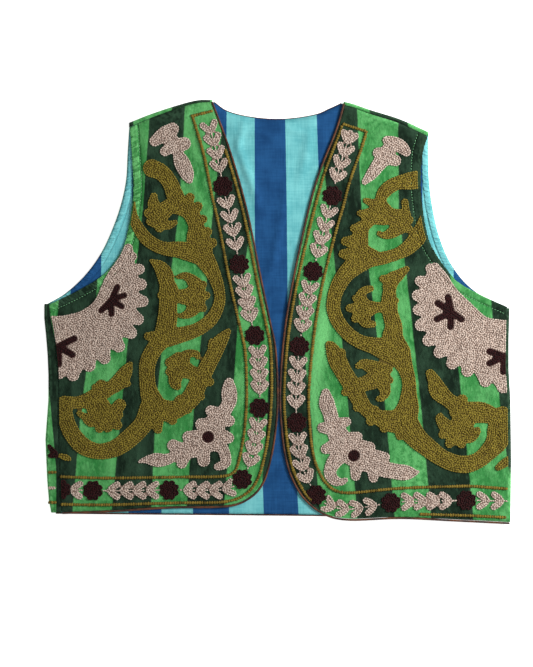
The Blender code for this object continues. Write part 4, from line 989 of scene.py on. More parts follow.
def make_lining():
    material, tree, shader = cloth_material("cotton_plain_weave_striped", roughness=0.85,
                                            sheen=0.03, sheen_tint="cfe4ea", specular=0.15)
    bright = stripe_of(tree, edge=0.012, wander=0.012)
    warp, weft = [noise_of(tree, WEAVE_DRAWN, stretch=stretch, rough=0.6)
                  for stretch in ((1, SLUB, 1), (SLUB, 1, 1))]
    slub = maths(tree, "MULTIPLY", maths(tree, "ADD", warp, weft), 0.5)
    washed = noise_of(tree, 26)
    tone = ramp_of(tree, maths(tree, "MULTIPLY", maths(tree, "ADD", slub, washed), 0.5), 0.36, 0.64)
    band, groove = puckers_of(tree)
    # Painted highlight: the hem's puckers are drawn paler
    tone = maths(tree, "MAXIMUM", tone, band)
    navy = blend_of(tree, tone, "0e3c69", "1c4f80")
    aqua = blend_of(tree, tone, "54a2a8", "74bfc1")
    colour = blend_of(tree, bright, navy, aqua)
    tree.links.new(colour, shader.inputs["Base Color"])
    place = add(tree, "ShaderNodeTexCoord").outputs["Object"]
    ups = []
    for direction in ("X", "Y"):
        wave = add(tree, "ShaderNodeTexWave",
                   {"Vector": place, "Scale": wave_scale(WEAVE_DRAWN), "Distortion": 0.6},
                   bands_direction=direction)
        ups.append(wave.outputs["Fac"])
    weave = maths(tree, "ADD", maths(tree, "MULTIPLY", *ups), maths(tree, "MULTIPLY", slub, 1.5))
    hem = maths(tree, "SUBTRACT", band, maths(tree, "MULTIPLY", groove, 0.6))
    height = maths(tree, "ADD", maths(tree, "MULTIPLY", weave, 0.08),
                   maths(tree, "MULTIPLY", hem, 0.7))
    bump_of(tree, shader, height, strength=1.0, distance=1.0)
    return material


# %% [markdown]
# Soft embroidery cotton. Every stitch carries its own tone, so a filled shape looks grainy and
# lively. Beneath the stitches lies a ground sheet painted in the thread's colour in shadow, a
# painted shade that fills the gaps between the rows.

# %% Thread and piping
Thread = namedtuple("Thread", "name low high shadow slot")
THREADS = {
    "olive": Thread("cotton_thread_olive", "584a18", "908030", "483c12", "olive_thread"),
    "line": Thread("cotton_thread_olive_line", "43360f", "8a752e", "3d320e", "olive_thread"),
    "pink": Thread("cotton_thread_dusty_pink", "917c70", "d8c6b8", "705d53", "pink_thread"),
    "dark": Thread("cotton_thread_dark_brown", "1c0606", "351213", "120505", "dark_thread"),
    "green": Thread("sewing_thread_green", "4d8a58", "8cc796", "2c4a30", "velvet"),
}
RIB = 1.2


def make_thread(thread):
    material, tree, shader = cloth_material(thread.name, roughness=0.8, sheen=0.03,
                                            sheen_tint="e8dccb", specular=0.15)
    tone = mark_of(tree, "tone")
    fibre = noise_of(tree, 0.7)
    amount = maths(tree, "ADD", maths(tree, "MULTIPLY", tone, 0.8),
                   maths(tree, "MULTIPLY", fibre, 0.2))
    colour = blend_of(tree, amount, thread.low, thread.high)
    tree.links.new(colour, shader.inputs["Base Color"])
    bump_of(tree, shader, fibre, strength=0.4, distance=0.25)
    return material


def make_ground(thread):
    material, tree, shader = cloth_material(thread.name + "_shadow", roughness=0.9, sheen=0.05,
                                            sheen_tint="e8dccb")
    # Painted shade: the ground takes the thread's shadow colour
    colour = blend_of(tree, noise_of(tree, 1.8), thread.shadow, thread.low)
    tree.links.new(colour, shader.inputs["Base Color"])
    bump_of(tree, shader, noise_of(tree, 1.2), strength=0.5, distance=0.4)
    return material


def make_piping():
    material, tree, shader = cloth_material("cotton_bias_piping_brown", roughness=0.7, sheen=0.12,
                                            sheen_tint="c08a5a", specular=0.35)
    place = add(tree, "ShaderNodeTexCoord").outputs["Object"]
    slant = add(tree, "ShaderNodeMapping", {"Vector": place, "Rotation": (0, 0, math.radians(45))})
    rib = add(tree, "ShaderNodeTexWave",
              {"Vector": slant.outputs[0], "Scale": wave_scale(RIB), "Distortion": 0.8})
    worn = ramp_of(tree, noise_of(tree, 14, detail=4), 0.35, 0.7)
    colour = blend_of(tree, worn, "301a12", "62381f")
    tree.links.new(colour, shader.inputs["Base Color"])
    bump_of(tree, shader, rib.outputs["Fac"], strength=0.5, distance=0.25)
    return material


velvet = make_velvet()
lining_cotton = make_lining()
piping_cotton = make_piping()
threads = {key: make_thread(thread) for key, thread in THREADS.items()}
grounds = {key: make_ground(thread) for key, thread in THREADS.items()}
for material in (velvet, lining_cotton, piping_cotton, *threads.values()):
    print("finish:", material.name)

# %% [markdown]
# ## The stripes
#
# Velvet stripes are about 44 mm wide and lean, because the fronts are cut a little off the grain.
# Each row gives a stripe border's X at five heights. The number that a point carries grows by one
# at each border, so that even ones are light and odd ones dark.

# %% Stripe borders
STRIPE_HEIGHTS = (-240, -120, 0, 120, 240)
StripeBorder = namedtuple("StripeBorder", "hem low waist chest top")
VELVET_STRIPES = {
    "right": named(StripeBorder, (
        (-242, -232, -216, -204, -193), (-196, -185, -173, -159, -150),
        (-149, -144, -132, -116, -109), (-108, -99, -87, -76, -63), (-64, -54, -46, -29, -9),
        (-21, -12, -8, -4, 20),
    )),
    "left": named(StripeBorder, (
        (51, 39, 27, 7, -12), (94, 84, 73, 61, 46), (138, 128, 114, 99, 94),
        (181, 170, 157, 143, 142), (231, 219, 207, 199, 193), (280, 263, 253, 244, 234),
    )),
}
BACK_STRIPE = 45.5
BACK_STRIPE_START = -119.0
LINING_STRIPES = named(StripeBorder, (
    (-214, -212, -209, -207, -206), (-176, -175, -173, -172, -170),
    (-137, -137, -136, -134, -133), (-100, -100, -99, -97, -96), (-57, -59, -61, -61, -60),
    (-16, -21, -26, -27, -27), (25, 18, 12, 11, 9), (65, 58, 52, 50, 46), (103, 96, 90, 88, 85),
    (141, 134, 128, 127, 124), (179, 173, 169, 171.5, 171), (217, 211, 208, 208, 206),
))
LINING_FIRST = 4


def stripe_number(borders, x, y, first=0):
    """How many borders lie to the left of each point, counted smoothly; first is zero's row."""
    number = np.empty(np.shape(x))
    for spot in np.ndindex(number.shape):
        row = [np.interp(y[spot], STRIPE_HEIGHTS, border) for border in borders]
        here = x[spot]
        k = min(max(int(np.searchsorted(row, here)) - 1, 0), len(row) - 2)
        number[spot] = k + (here - row[k]) / (row[k + 1] - row[k])
    return number - first


# %% [markdown]
# ## The fronts
#
# Each front is one piece of velvet, curved out for the armhole and rounded at the lower corner.
# On the wearer's left it wraps round the side and ends in a seam beneath; on the right it stops
# at a seam on top. Both keep the same lie and ridges as whatever is sewn to them.

# %% Lattice of a front
# Rows up the side and up the armhole, and columns across
SIDE_STEPS = 72
ARMHOLE_STEPS = 80
FRONT_STEPS = 104
# Rows lie closer together towards the rounded corner
CORNER_CROWDING = 1.35
OUTLINE_STEP = 4


def side_and_armhole(side_x, hem_y, armhole, side_steps, arm_steps):
    """The outer edge of a panel from the hem to the shoulder, with a point at the underarm."""
    arm = resample(smooth(armhole), np.linspace(0, 1, arm_steps + 1))
    y = np.linspace(hem_y, arm[0, 1], side_steps + 1)
    body = np.column_stack([side_x(y), y])
    body[-1] = arm[0]
    return np.vstack([body, arm[1:]])


def front_plan(side):
    """The front's x, y lattice: rows from the hem up, columns from the side to the edge."""
    curve = offset(edge_curve(side), inward(side) * FRONT_MARGIN)
    corner = HEM_CORNER[side] * CURVE_STEPS
    edge = curve[:corner + 1][::-1]
    hem = curve[corner:][::-1]
    turned = SIDE_TURN + VELVET / 2

    def outer_x(y):
        """Beside the seam on top, or where the cloth starts to turn."""
        return side_seam(side, y) + SEAM_GAP if side == "right" else side_fold(side, y) - turned

    hem_y = EDGE[side][-1][1] + FRONT_MARGIN
    outer = side_and_armhole(outer_x, hem_y, ARMHOLE[side], SIDE_STEPS, ARMHOLE_STEPS)
    if side == "left":
        outer[SIDE_STEPS, 0] -= turned
    columns = np.linspace(0, 1, FRONT_STEPS + 1)
    fold = resample(shoulder_curve(side), columns)
    wedge = shoulder_wedge(side, columns) + 2 * SEAM_GAP
    top = fold - np.column_stack([np.zeros(len(wedge)), wedge])
    hem[0] = outer[0]
    top[0] = outer[-1]
    rows = SIDE_STEPS + ARMHOLE_STEPS
    seam = SHOULDER_SEAM[side][1] + 4 * SEAM_GAP
    climb = np.linspace(0, 1, rows + 1) ** CORNER_CROWDING
    inner = resample(edge, climb * (1 - seam / lengths(edge)[-1]))
    top[-1] = inner[-1]
    return patch(outer, inner, resample(hem, columns), top)


def outline_of(plan):
    """The closed outline of a panel's lattice, every few points."""
    whole = np.vstack([plan[0], plan[1:, -1], plan[-1][::-1][1:], plan[:, 0][::-1][1:-1]])
    return whole[::OUTLINE_STEP]


def side_turn(side, plan, steps, out, heights):
    """A panel's turn at its side, row by row: from the seam round the fold to its edge."""
    strip = np.full((len(plan), TURN_POINTS, 3), np.nan)
    for row in range(steps + 1):
        start = plan[row, 0]
        end = np.array([side_seam(side, start[1]), start[1]])
        strip[row] = turn(start, end, out, heights(row, end), SIDE_TURN)
    return strip[:, ::-1]


rows, columns = front_plan("right").shape[:2]
print("lattice of the right front:", columns, "by", rows, "points")


# %% Lay the fronts
# Where the pile is drawn paler, partly rubbed pile and partly painted light that brightens the
# shoulders and the hem: middle, half width, half height and how much
WearAndLightPatch = namedtuple("WearAndLightPatch", "x y width height amount")
WEAR_AND_LIGHT_PATCHES = {
    "right": (WearAndLightPatch(-118, 238, 62, 24, 1.0), WearAndLightPatch(-238, -228, 30, 26, 0.6)),
    "left": (WearAndLightPatch(118, 234, 55, 20, 0.8), WearAndLightPatch(160, -188, 46, 52, 0.8)),
}
# A cut edge is drawn paler, as rubbed pile and as a painted highlight where the pile catches the
# light: not at all from the first distance in, fully from the second out
EDGE_WEAR_AND_HIGHLIGHT = (2.6, 0.2)


def lay_front(side):
    """A front's sheet, with its marks for stripes, hem, and paleness from rubbed pile and painted
    light.
    """
    plan = front_plan(side)
    x, y = plan[..., 0], plan[..., 1]
    lattice = np.dstack([plan, front_mid(side, x, y)])
    gap, along = near_curve(armhole_curve(side), x, y)
    edge, _ = near_curve(outline_of(plan), x, y)
    # Paler towards the outline: rubbed pile, and a painted highlight along the edge
    worn = soft_step(edge, *EDGE_WEAR_AND_HIGHLIGHT)
    # Paler patches: rubbed pile, and painted light on the shoulders and towards the hem
    for place in WEAR_AND_LIGHT_PATCHES[side]:
        away = ((x - place.x) / place.width) ** 2 + ((y - place.y) / place.height) ** 2
        worn = np.maximum(worn, place.amount * np.exp(-away))
    marks = {"stripe": stripe_number(VELVET_STRIPES[side], x, y),
             "hem": np.clip(HEM_SHOWN - gap, 0, HEM_SHOWN), "along": along,
             "gathered": np.full(x.shape, GATHERED[side]), "worn": worn}
    if side == "left":
        tops = lattice[:, 0, 2]
        strip = side_turn(side, plan, SIDE_STEPS, (1, 0), lambda row, end: (tops[row], BACK_MID))
        lattice = np.hstack([strip, lattice])
        for mark, values in marks.items():
            marks[mark] = np.pad(values, ((0, 0), (TURN_POINTS, 0)), mode="edge")
    sheet = lay_sheet(f"velvet_front_{side}", lattice, VELVET, velvet, "velvet", marks)
    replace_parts(sheet, f"front_{side}_velvet")
    return plan


front_outlines = {side: outline_of(lay_front(side)) for side in SIDES}

# %% [markdown]
# ## The back and its lining
#
# The back lies flat on the ground. Along the wearer's right side and over both shoulders its
# velvet folds round and comes up on top, where it is sewn to the fronts. The cotton lining lies
# on it and shows at the neck, in the armholes and below the fronts.

# %% Lattice of the back
# Rows up the side and up the armhole, and columns over each shoulder and the neck
BACK_STEPS = (60, 56)
LINING_STEPS = (100, 112)
SHOULDER_COLUMNS = 24
NECK_COLUMNS = 60
# Every fifth point of a moved armhole is enough to draw it again
ARMHOLE_THINNED = 5
# How far within the velvet's turns the lining ends, and what share of it each edge draws in
LINING_INSET = 3.0
HEM_SHARE = 0.05
ARMHOLE_SHARE = 0.2
UNDERARM_SHARE = 0.6
SHOULDER_SHARE = 0.8


def back_plan(inset, side_steps, arm_steps):
    """The back's x, y lattice; inset 0 is the velvet, more is the lining within its turns."""
    turned = SIDE_TURN + VELVET / 2 + inset
    hem_margin = 2 * HEM_PIPING + BACK_GAP + inset * HEM_SHARE
    neck_margin = 2 * NECK_PIPING + BACK_GAP + inset * HEM_SHARE
    hem_curve = smooth(BACK_HEM)
    ends = {}
    for side, hem_end in (("right", 0), ("left", -1)):
        arm = offset(smooth(BACK_ARMHOLE[side]), inward(side) * inset * ARMHOLE_SHARE)

        def side_x(y):
            """Where the cloth starts to turn up, or beside the seam beneath."""
            if side == "right":
                return side_fold(side, y) + turned
            return side_seam(side, y) - SEAM_GAP - inset

        ends[side] = side_and_armhole(side_x, hem_curve[hem_end, 1] + hem_margin,
                                      arm[::ARMHOLE_THINNED], side_steps, arm_steps)
    right, left = ends["right"], ends["left"]
    right[side_steps] += (inset * UNDERARM_SHARE, 0)
    down = SHOULDER_TURN + VELVET / 2 + inset * SHOULDER_SHARE
    stations = np.linspace(0, 1, SHOULDER_COLUMNS + 1)
    right_top = resample(shoulder_curve("right"), stations) - (0, down)
    left_top = resample(shoulder_curve("left"), stations)[::-1] - (0, down)
    neck = resample(offset(smooth(NECK), -neck_margin), np.linspace(0, 1, NECK_COLUMNS + 1))
    right_top[-1, 1] = neck[0, 1] = min(right_top[-1, 1], neck[0, 1])
    left_top[0, 1] = neck[-1, 1] = min(left_top[0, 1], neck[-1, 1])
    top = np.vstack([right_top, neck[1:-1], left_top])
    right[-1] = top[0]
    left[-1] = top[-1]
    bottom = resample(hem_curve, lengths(top) / lengths(top)[-1]) + (0, hem_margin)
    bottom[0] = right[0]
    bottom[-1] = left[0]
    return patch(right, left, bottom, top)


rows, columns = back_plan(0, *BACK_STEPS).shape[:2]
print("lattice of the back:", columns, "by", rows, "points")


# %% Lay the back
# How much paler the pile is drawn where it turns: rubbed pile, and a painted highlight on the fold
TURN_WEAR_AND_HIGHLIGHT = 1.2
# Where the stripes' border crosses the strip that the back turns over at the side: y, x
SIDE_BORDER = ((-187, -261), (-140, -265), (-104, -268), (-81, -271), (-40, -275))
SIDE_BORDER_BLUR = 20
# How far the stripes stand aside, in stripes, where the back turns over each shoulder
OVER_SHIFT = {"right": 1.12, "left": 0}


def lay_back():
    """The back's sheet, with its turns at the right side and over both shoulders."""
    plan = back_plan(0, *BACK_STEPS)
    lattice = np.dstack([plan, np.full(plan.shape[:2], BACK_MID)])
    stripes = (plan[..., 0] - BACK_STRIPE_START) / BACK_STRIPE
    strip = side_turn("right", plan, BACK_STEPS[0], (-1, 0),
                      lambda row, end: (BACK_MID, front_mid("right", *end)))
    border = np.interp(strip[..., 1], *np.array(SIDE_BORDER, float).T)
    side_stripe = np.clip((border - strip[..., 0]) / SIDE_BORDER_BLUR, -0.5, 0.5)
    lattice = np.hstack([strip, lattice])
    stripes = np.hstack([side_stripe, stripes])
    over = np.full((TURN_POINTS, lattice.shape[1], 3), np.nan)
    over_stripes = np.zeros(over.shape[:2])
    for side, first in (("right", 0), ("left", SHOULDER_COLUMNS + NECK_COLUMNS)):
        for i in range(SHOULDER_COLUMNS + 1):
            fraction = i / SHOULDER_COLUMNS if side == "right" else 1 - i / SHOULDER_COLUMNS
            start = plan[-1, first + i]
            end = start - (0, shoulder_wedge(side, fraction) - SHOULDER_TURN - VELVET / 2)
            high = front_mid(side, *end)
            column = TURN_POINTS + first + i
            over[:, column] = turn(start, end, (0, 1), (BACK_MID, high), SHOULDER_TURN)
            over_stripes[:, column] = stripes[-1, column] + OVER_SHIFT[side]
    lattice = np.vstack([lattice, over])
    stripes = np.vstack([stripes, over_stripes])
    # The turns are drawn paler: rubbed pile, and a painted highlight on each fold
    worn = np.zeros(stripes.shape)
    worn[:, UNDER_STEPS:TURN_POINTS] = TURN_WEAR_AND_HIGHLIGHT
    worn[-TURN_POINTS:-UNDER_STEPS] = TURN_WEAR_AND_HIGHLIGHT
    marks = {"stripe": stripes, "worn": worn}
    sheet = lay_sheet("velvet_back", lattice, VELVET, velvet, "velvet", marks)
    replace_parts(sheet, "back_velvet")


lay_back()


# %% Lay the lining
# Where the lining is clear of the fronts, and where its armhole's hem fades: mm, from and to
LINING_CLEAR = (2, 12)
LINING_HEM = 9.5
LINING_HEM_FADES = (26, 12)
# How far from an armhole its hem is still marked
ARMHOLE_REACH = 60


def lay_lining():
    """The lining's sheet, ridged where no front lies on it, and hemmed at the armholes."""
    plan = back_plan(LINING_INSET, *LINING_STEPS)
    x, y = plan[..., 0], plan[..., 1]
    shown = np.minimum(*[soft_step(outline_field(front_outlines[side], x, y), *LINING_CLEAR)
                         for side in SIDES])
    height = np.full(x.shape, LINING_MID)
    height += shown * ridges(LINING_RIDGES, x, y)
    marks = {"stripe": stripe_number(LINING_STRIPES, x, y, LINING_FIRST),
             "hem": np.zeros(x.shape), "along": np.zeros(x.shape), "gathered": np.ones(x.shape)}
    for side in SIDES:
        gap, along = near_curve(smooth(BACK_ARMHOLE[side]), x, y)
        hem = np.maximum(stitched_edge(gap, along, LINING_HEM), 0)
        height += shown * hem * soft_step(gap, *LINING_HEM_FADES)
        near = gap < ARMHOLE_REACH
        marks["hem"][near] = np.clip(HEM_SHOWN - gap, 0, HEM_SHOWN)[near]
        marks["along"][near] = along[near]
    sheet = lay_sheet("lining_of_back", np.dstack([plan, height]), LINING, lining_cotton,
                      "lining", marks)
    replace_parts(sheet, "back_lining")


lay_lining()

# %% [markdown]
# ## The piping
#
# The cut edges are bound in a narrow brown bias strip over a cord. A curve with a round bevel has
# just that shape; it is made a mesh so that its place is in its own points.

# %% Piping along the fronts, the neck and the hem
# The part of each front's edge that is piped, and the points along a cord
FRONT_SPAN = (0.004, 0.998)
FRONT_PIPING_POINTS = 220
PIPING_POINTS = 120


def lay_piping(name, node, centres, radius):
    data = bpy.data.curves.new(name, "CURVE")
    data.dimensions = "3D"
    data.bevel_depth = radius * MM
    data.bevel_resolution = 3
    data.use_fill_caps = True
    spline = data.splines.new("POLY")
    spline.points.add(len(centres) - 1)
    for target, centre in zip(spline.points, metres(centres)):
        target.co = (*centre, 1)
    drawn = bpy.data.objects.new(name + "_curve", data)
    bpy.context.scene.collection.objects.link(drawn)
    mesh = bpy.data.meshes.new_from_object(drawn)
    bpy.data.objects.remove(drawn)
    mesh.materials.clear()
    for face in mesh.polygons:
        face.use_smooth = True
    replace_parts(piece_of(name, mesh, piping_cotton, "piping"), node)
    print(f"{name}: {lengths(centres)[-1]:.0f} mm of piping")


for side in SIDES:
    curve = offset(edge_curve(side), inward(side) * FRONT_PIPING)
    points = resample(curve, np.linspace(*FRONT_SPAN, FRONT_PIPING_POINTS))
    z = front_mid(side, points[:, 0], points[:, 1]) + FRONT_PIPING - VELVET / 2
    centres = np.column_stack([points, z])
    lay_piping(f"piping_of_front_{side}", f"piping_front_{side}", centres, FRONT_PIPING)

for name, node, table, span, into, radius in (
        ("piping_of_neck", "piping_neck", NECK, (0.02, 0.98), -1, NECK_PIPING),
        ("piping_of_hem", "piping_hem", BACK_HEM, (0.004, 0.996), 1, HEM_PIPING)):
    points = resample(offset(smooth(table), into * radius), np.linspace(*span, PIPING_POINTS))
    z = np.full(len(points), radius + BACK_GAP)
    lay_piping(name, node, np.column_stack([points, z]), radius)

# %% [markdown]
# ## Chain stitch
#
# A hook pulls the thread up through the cloth in a row of little loops, each starting inside the
# last one. A loop is a small ring, plump along its two legs and hollow in the middle. The
# embroiderer goes round a shape's outline, then round again inside it, until it is full. So each
# motif is drawn as a field of distances from its strokes, rows of equal distance are traced in
# it, and one small loop is stamped along each row. One loop has only 15 faces, because there are
# thousands of them.

# %% One loop of thread
LOOP_SIDES = 7
STITCH_PITCH = 2.9
ROW_PITCH = 2.4
LOOP_LENGTH = 3.4
LOOP_WIDTH = 2.2
LOOP_HEIGHT = 1.35
# The shape of a loop: how much its top draws in, how hollow it is, and how much it narrows ahead
LOOP_TOP = 0.62
LOOP_HOLLOW = 0.5
LOOP_TAPER = 0.45
# How far a stitch inside the outline's row strays: x, y and heading
STRAY = (0.22, 0.22, 0.14)
hand = np.random.default_rng(7)


def one_loop():
    """The points and faces of one loop, 1 long, 1 wide and 1 high, pointing along X."""
    bm = bmesh.new()
    bmesh.ops.create_circle(bm, cap_ends=True, segments=LOOP_SIDES, radius=0.5)
    bottom = bm.faces[:]
    bmesh.ops.reverse_faces(bm, faces=bottom)
    raised = bmesh.ops.extrude_face_region(bm, geom=bottom, use_keep_orig=True)["geom"]
    top = [g for g in raised if isinstance(g, bmesh.types.BMFace)]
    corners = [g for g in raised if isinstance(g, bmesh.types.BMVert)]
    bmesh.ops.translate(bm, verts=corners, vec=(0, 0, 1))
    bmesh.ops.scale(bm, verts=corners, vec=(LOOP_TOP, LOOP_TOP, 1))
    middle = bmesh.ops.poke(bm, faces=top)["verts"]
    bmesh.ops.translate(bm, verts=middle, vec=(0, 0, -LOOP_HOLLOW))
    bmesh.ops.recalc_face_normals(bm, faces=bm.faces)
    for vert in bm.verts:
        vert.co.y *= 1 - LOOP_TAPER * vert.co.x
    points = np.array([vert.co[:] for vert in bm.verts])
    faces = [[vert.index for vert in face.verts] for face in bm.faces]
    bm.free()
    return points, faces


loop_points, loop_faces = one_loop()
print("one loop of thread:", len(loop_points), "points,", len(loop_faces), "faces")


# %% From strokes to a field of distances
# The pitch of a board, how far from a stroke its field reaches, and the points between two of a
# stroke's own
BOARD_STEP = 1.0
STROKE_REACH = 46.0
STROKE_STEPS = 4
# Values nearer to zero than this are moved off it, so that a crossing is never at a board's point
NEVER_ZERO = 1e-4


def board(box):
    """An even board of points over a box x0, y0, x1, y1."""
    x0, y0, x1, y1 = box
    return np.meshgrid(np.arange(x0, x1 + BOARD_STEP, BOARD_STEP),
                       np.arange(y0, y1 + BOARD_STEP, BOARD_STEP))


def draw_strokes(x, y, strokes):
    """Distance from the outline of all the strokes together, negative within them."""
    field = np.full(x.shape, STROKE_REACH)
    for stroke in strokes:
        rows = smooth(stroke, STROKE_STEPS) if len(stroke) > 2 else np.array(stroke, float)
        reach = rows[:, 2].max() + STROKE_REACH
        low, high = rows[:, :2].min(axis=0) - reach, rows[:, :2].max(axis=0) + reach
        i0, i1 = np.searchsorted(x[0], (low[0], high[0]))
        j0, j1 = np.searchsorted(y[:, 0], (low[1], high[1]))
        px, py = x[j0:j1, i0:i1], y[j0:j1, i0:i1]
        near = field[j0:j1, i0:i1]
        for a, b in zip(rows[:-1], rows[1:]):
            d = b[:2] - a[:2]
            t = np.clip(((px - a[0]) * d[0] + (py - a[1]) * d[1]) / (d @ d + TINY), 0, 1)
            gap = np.hypot(px - a[0] - t * d[0], py - a[1] - t * d[1]) - a[2] - t * (b[2] - a[2])
            near = np.minimum(near, gap)
        field[j0:j1, i0:i1] = near
    return field


def trace(x, y, values):
    """Closed runs of points where the values cross zero on the board."""
    xs, ys = x[0], y[:, 0]
    values = np.where(np.abs(values) < NEVER_ZERO, NEVER_ZERO, values)
    low = values < 0
    mixed = low[:-1, :-1] + 0 + low[1:, :-1] + low[:-1, 1:] + low[1:, 1:]
    links = {}
    for j, i in np.argwhere((mixed > 0) & (mixed < 4)):
        sides = (("x", j, i), ("y", j, i + 1), ("x", j + 1, i), ("y", j, i))
        ends = ((j, i, j, i + 1), (j, i + 1, j + 1, i + 1),
                (j + 1, i, j + 1, i + 1), (j, i, j + 1, i))
        cut = [s for s, (a, b, c, d) in zip(sides, ends) if low[a, b] != low[c, d]]
        if len(cut) == 4 and values[j, i] * values[j:j + 2, i:i + 2].mean() <= 0:
            cut = cut[1:] + cut[:1]
        for a, b in zip(cut[::2], cut[1::2]):
            links.setdefault(a, []).append(b)
            links.setdefault(b, []).append(a)

    def crossing(key):
        kind, j, i = key
        a = values[j, i]
        b = values[j, i + 1] if kind == "x" else values[j + 1, i]
        t = a / (a - b) * BOARD_STEP
        return (xs[i] + t, ys[j]) if kind == "x" else (xs[i], ys[j] + t)

    loops = []
    while links:
        start = key = next(iter(links))
        loop = []
        while key in links:
            loop.append(crossing(key))
            followers = links.pop(key)
            key = next((k for k in followers if k in links), start)
        if len(loop) > 2:
            loops.append(np.array(loop + loop[:1]))
    return loops


leaf_board = board((0, 0, 20, 10))
leaf_runs = trace(*leaf_board, draw_strokes(*leaf_board, [((5, 5, 2), (15, 5, 4))]))
print("one leaf's outline:", [round(lengths(run)[-1], 1) for run in leaf_runs], "mm")


# %% From a field to rows of stitches
# A stitch's heading is taken between points this far behind it and ahead
HEADING_REACH = 0.6
# Rows wander once they are this deep in a shape, and fully from the second depth on, by two
# waves that bend each other: the length of each, how much it is bent, and the bend's length
WANDER_DEPTHS = (2.5, 7)
WANDER_X = (6.1, 1.7, 8.3)
WANDER_Y = (5.3, 1.9, 7.9)
# A gap in the rows is filled from this far off them, this far within the outline, and this far
# from the last few loops that filled one
GAP_OFF_ROWS = 1.65
GAP_WITHIN = 1.0
GAP_APART = 2.3
GAP_RECENT = 12


def along_run(run, pitch):
    """Where the stitches of one run go: x, y and heading, at an even pitch."""
    length = lengths(run)[-1]
    count = max(int(round(length / pitch)), 1)
    stations = (np.arange(count) + 0.5) / count
    reach = HEADING_REACH / max(length, 2 * HEADING_REACH)
    ahead = resample(run, np.minimum(stations + reach, 1))
    behind = resample(run, np.maximum(stations - reach, 0))
    d = ahead - behind
    return np.column_stack([resample(run, stations), np.arctan2(d[:, 1], d[:, 0])])


def bent_wave(along, across, waves):
    """A wave one way, bent by a slower wave across it."""
    length, bend, bend_length = waves
    return np.sin(along / length + bend * np.sin(across / bend_length))


def rows_within(x, y, field):
    """Stitches round and round inside a shape, from its outline to its middle."""
    wander = bent_wave(x, y, WANDER_X) * bent_wave(y, x, WANDER_Y)
    loose = field + wander * soft_step(-field, *WANDER_DEPTHS)
    runs = []
    depth = ROW_PITCH / 2
    while depth < -field.min():
        stray = STRAY if runs else (0, 0, 0)
        for run in trace(x, y, loose + depth):
            spots = along_run(run, STITCH_PITCH)
            runs.append(spots + hand.normal(0, 1, spots.shape) * stray)
        depth += ROW_PITCH
    return fill_gaps(x, y, field, np.vstack(runs))


def fill_gaps(x, y, field, spots):
    """Single loops where the rows leave a gap along the middle of a shape."""
    tree = KDTree(len(spots))
    for index, spot in enumerate(spots):
        tree.insert((spot[0], spot[1], 0), index)
    tree.balance()
    extra = []
    for j, i in np.argwhere(field < -GAP_WITHIN):
        here = np.array([x[j, i], y[j, i]])
        _, index, gap = tree.find((*here, 0))
        apart = [np.hypot(*(here - loop[:2])) for loop in extra[-GAP_RECENT:]]
        if gap > GAP_OFF_ROWS and all(distance > GAP_APART for distance in apart):
            extra.append((*here, spots[index, 2]))
    return np.vstack([spots, extra]) if extra else spots


# %% Sewing stitches on a front
# How light stitches are, how much that varies, and how many are in the shade and by how much
TONE = (0.64, 0.15)
SHADED = (0.1, 0.36)
# How much a stitch's size and heading vary, and how far above the velvet's middle wall it sits
SIZE_SPREAD = 0.14
HEADING_SPREAD = 0.2
STITCH_SEAT = 0.25


def stitch_tones(count):
    """How light each stitch is: most are even, and one in ten is deep in the shade."""
    tones = hand.normal(*TONE, count)
    share, shade = SHADED
    return np.clip(np.where(hand.uniform(0, 1, count) < share, tones - shade, tones), 0, 1)


def sew(name, side, spots, thread, size=(LOOP_LENGTH, LOOP_WIDTH, LOOP_HEIGHT)):
    """One mesh of loops at the spots, each turned along its row and set on the velvet."""
    count = len(spots)
    scale = np.array(size) * (1 + hand.uniform(-SIZE_SPREAD, SIZE_SPREAD, (count, 3)))
    heading = spots[:, 2] + hand.normal(0, HEADING_SPREAD, count)
    local = loop_points[None] * scale[:, None]
    c, s = np.cos(heading)[:, None], np.sin(heading)[:, None]
    x = spots[:, 0, None] + local[..., 0] * c - local[..., 1] * s
    y = spots[:, 1, None] + local[..., 0] * s + local[..., 1] * c
    base = front_mid(side, x.ravel(), y.ravel()).reshape(x.shape) + VELVET / 2 + STITCH_SEAT
    points = np.dstack([x, y, base + local[..., 2]]).reshape(-1, 3)
    mesh = bpy.data.meshes.new(name)
    step = len(loop_points)
    faces = [[v + k * step for v in face] for k in range(count) for face in loop_faces]
    mesh.from_pydata(metres(points).tolist(), [], faces)
    mesh.attributes.new("tone", "FLOAT", "POINT").data.foreach_set(
        "value", np.repeat(stitch_tones(count), step).astype(np.float32))
    mesh.polygons.foreach_set("use_smooth", [True] * len(mesh.polygons))
    mesh.update()
    print(f"{name}: {count} stitches")
    return piece_of(name, mesh, threads[thread], THREADS[thread].slot)


# %% The ground under a motif
# Its grid in board points, its wall, how high it lies and how far within the shape
GROUND_STEP = 2
GROUND_WALL = 0.4
GROUND_SEAT = 0.3
GROUND_INSET = 0.5
# A point further out than this share of a step is cut away
GROUND_CUT = 0.75
# How much higher a motif lies that is worked over another
INLAY_LIFT = 0.2


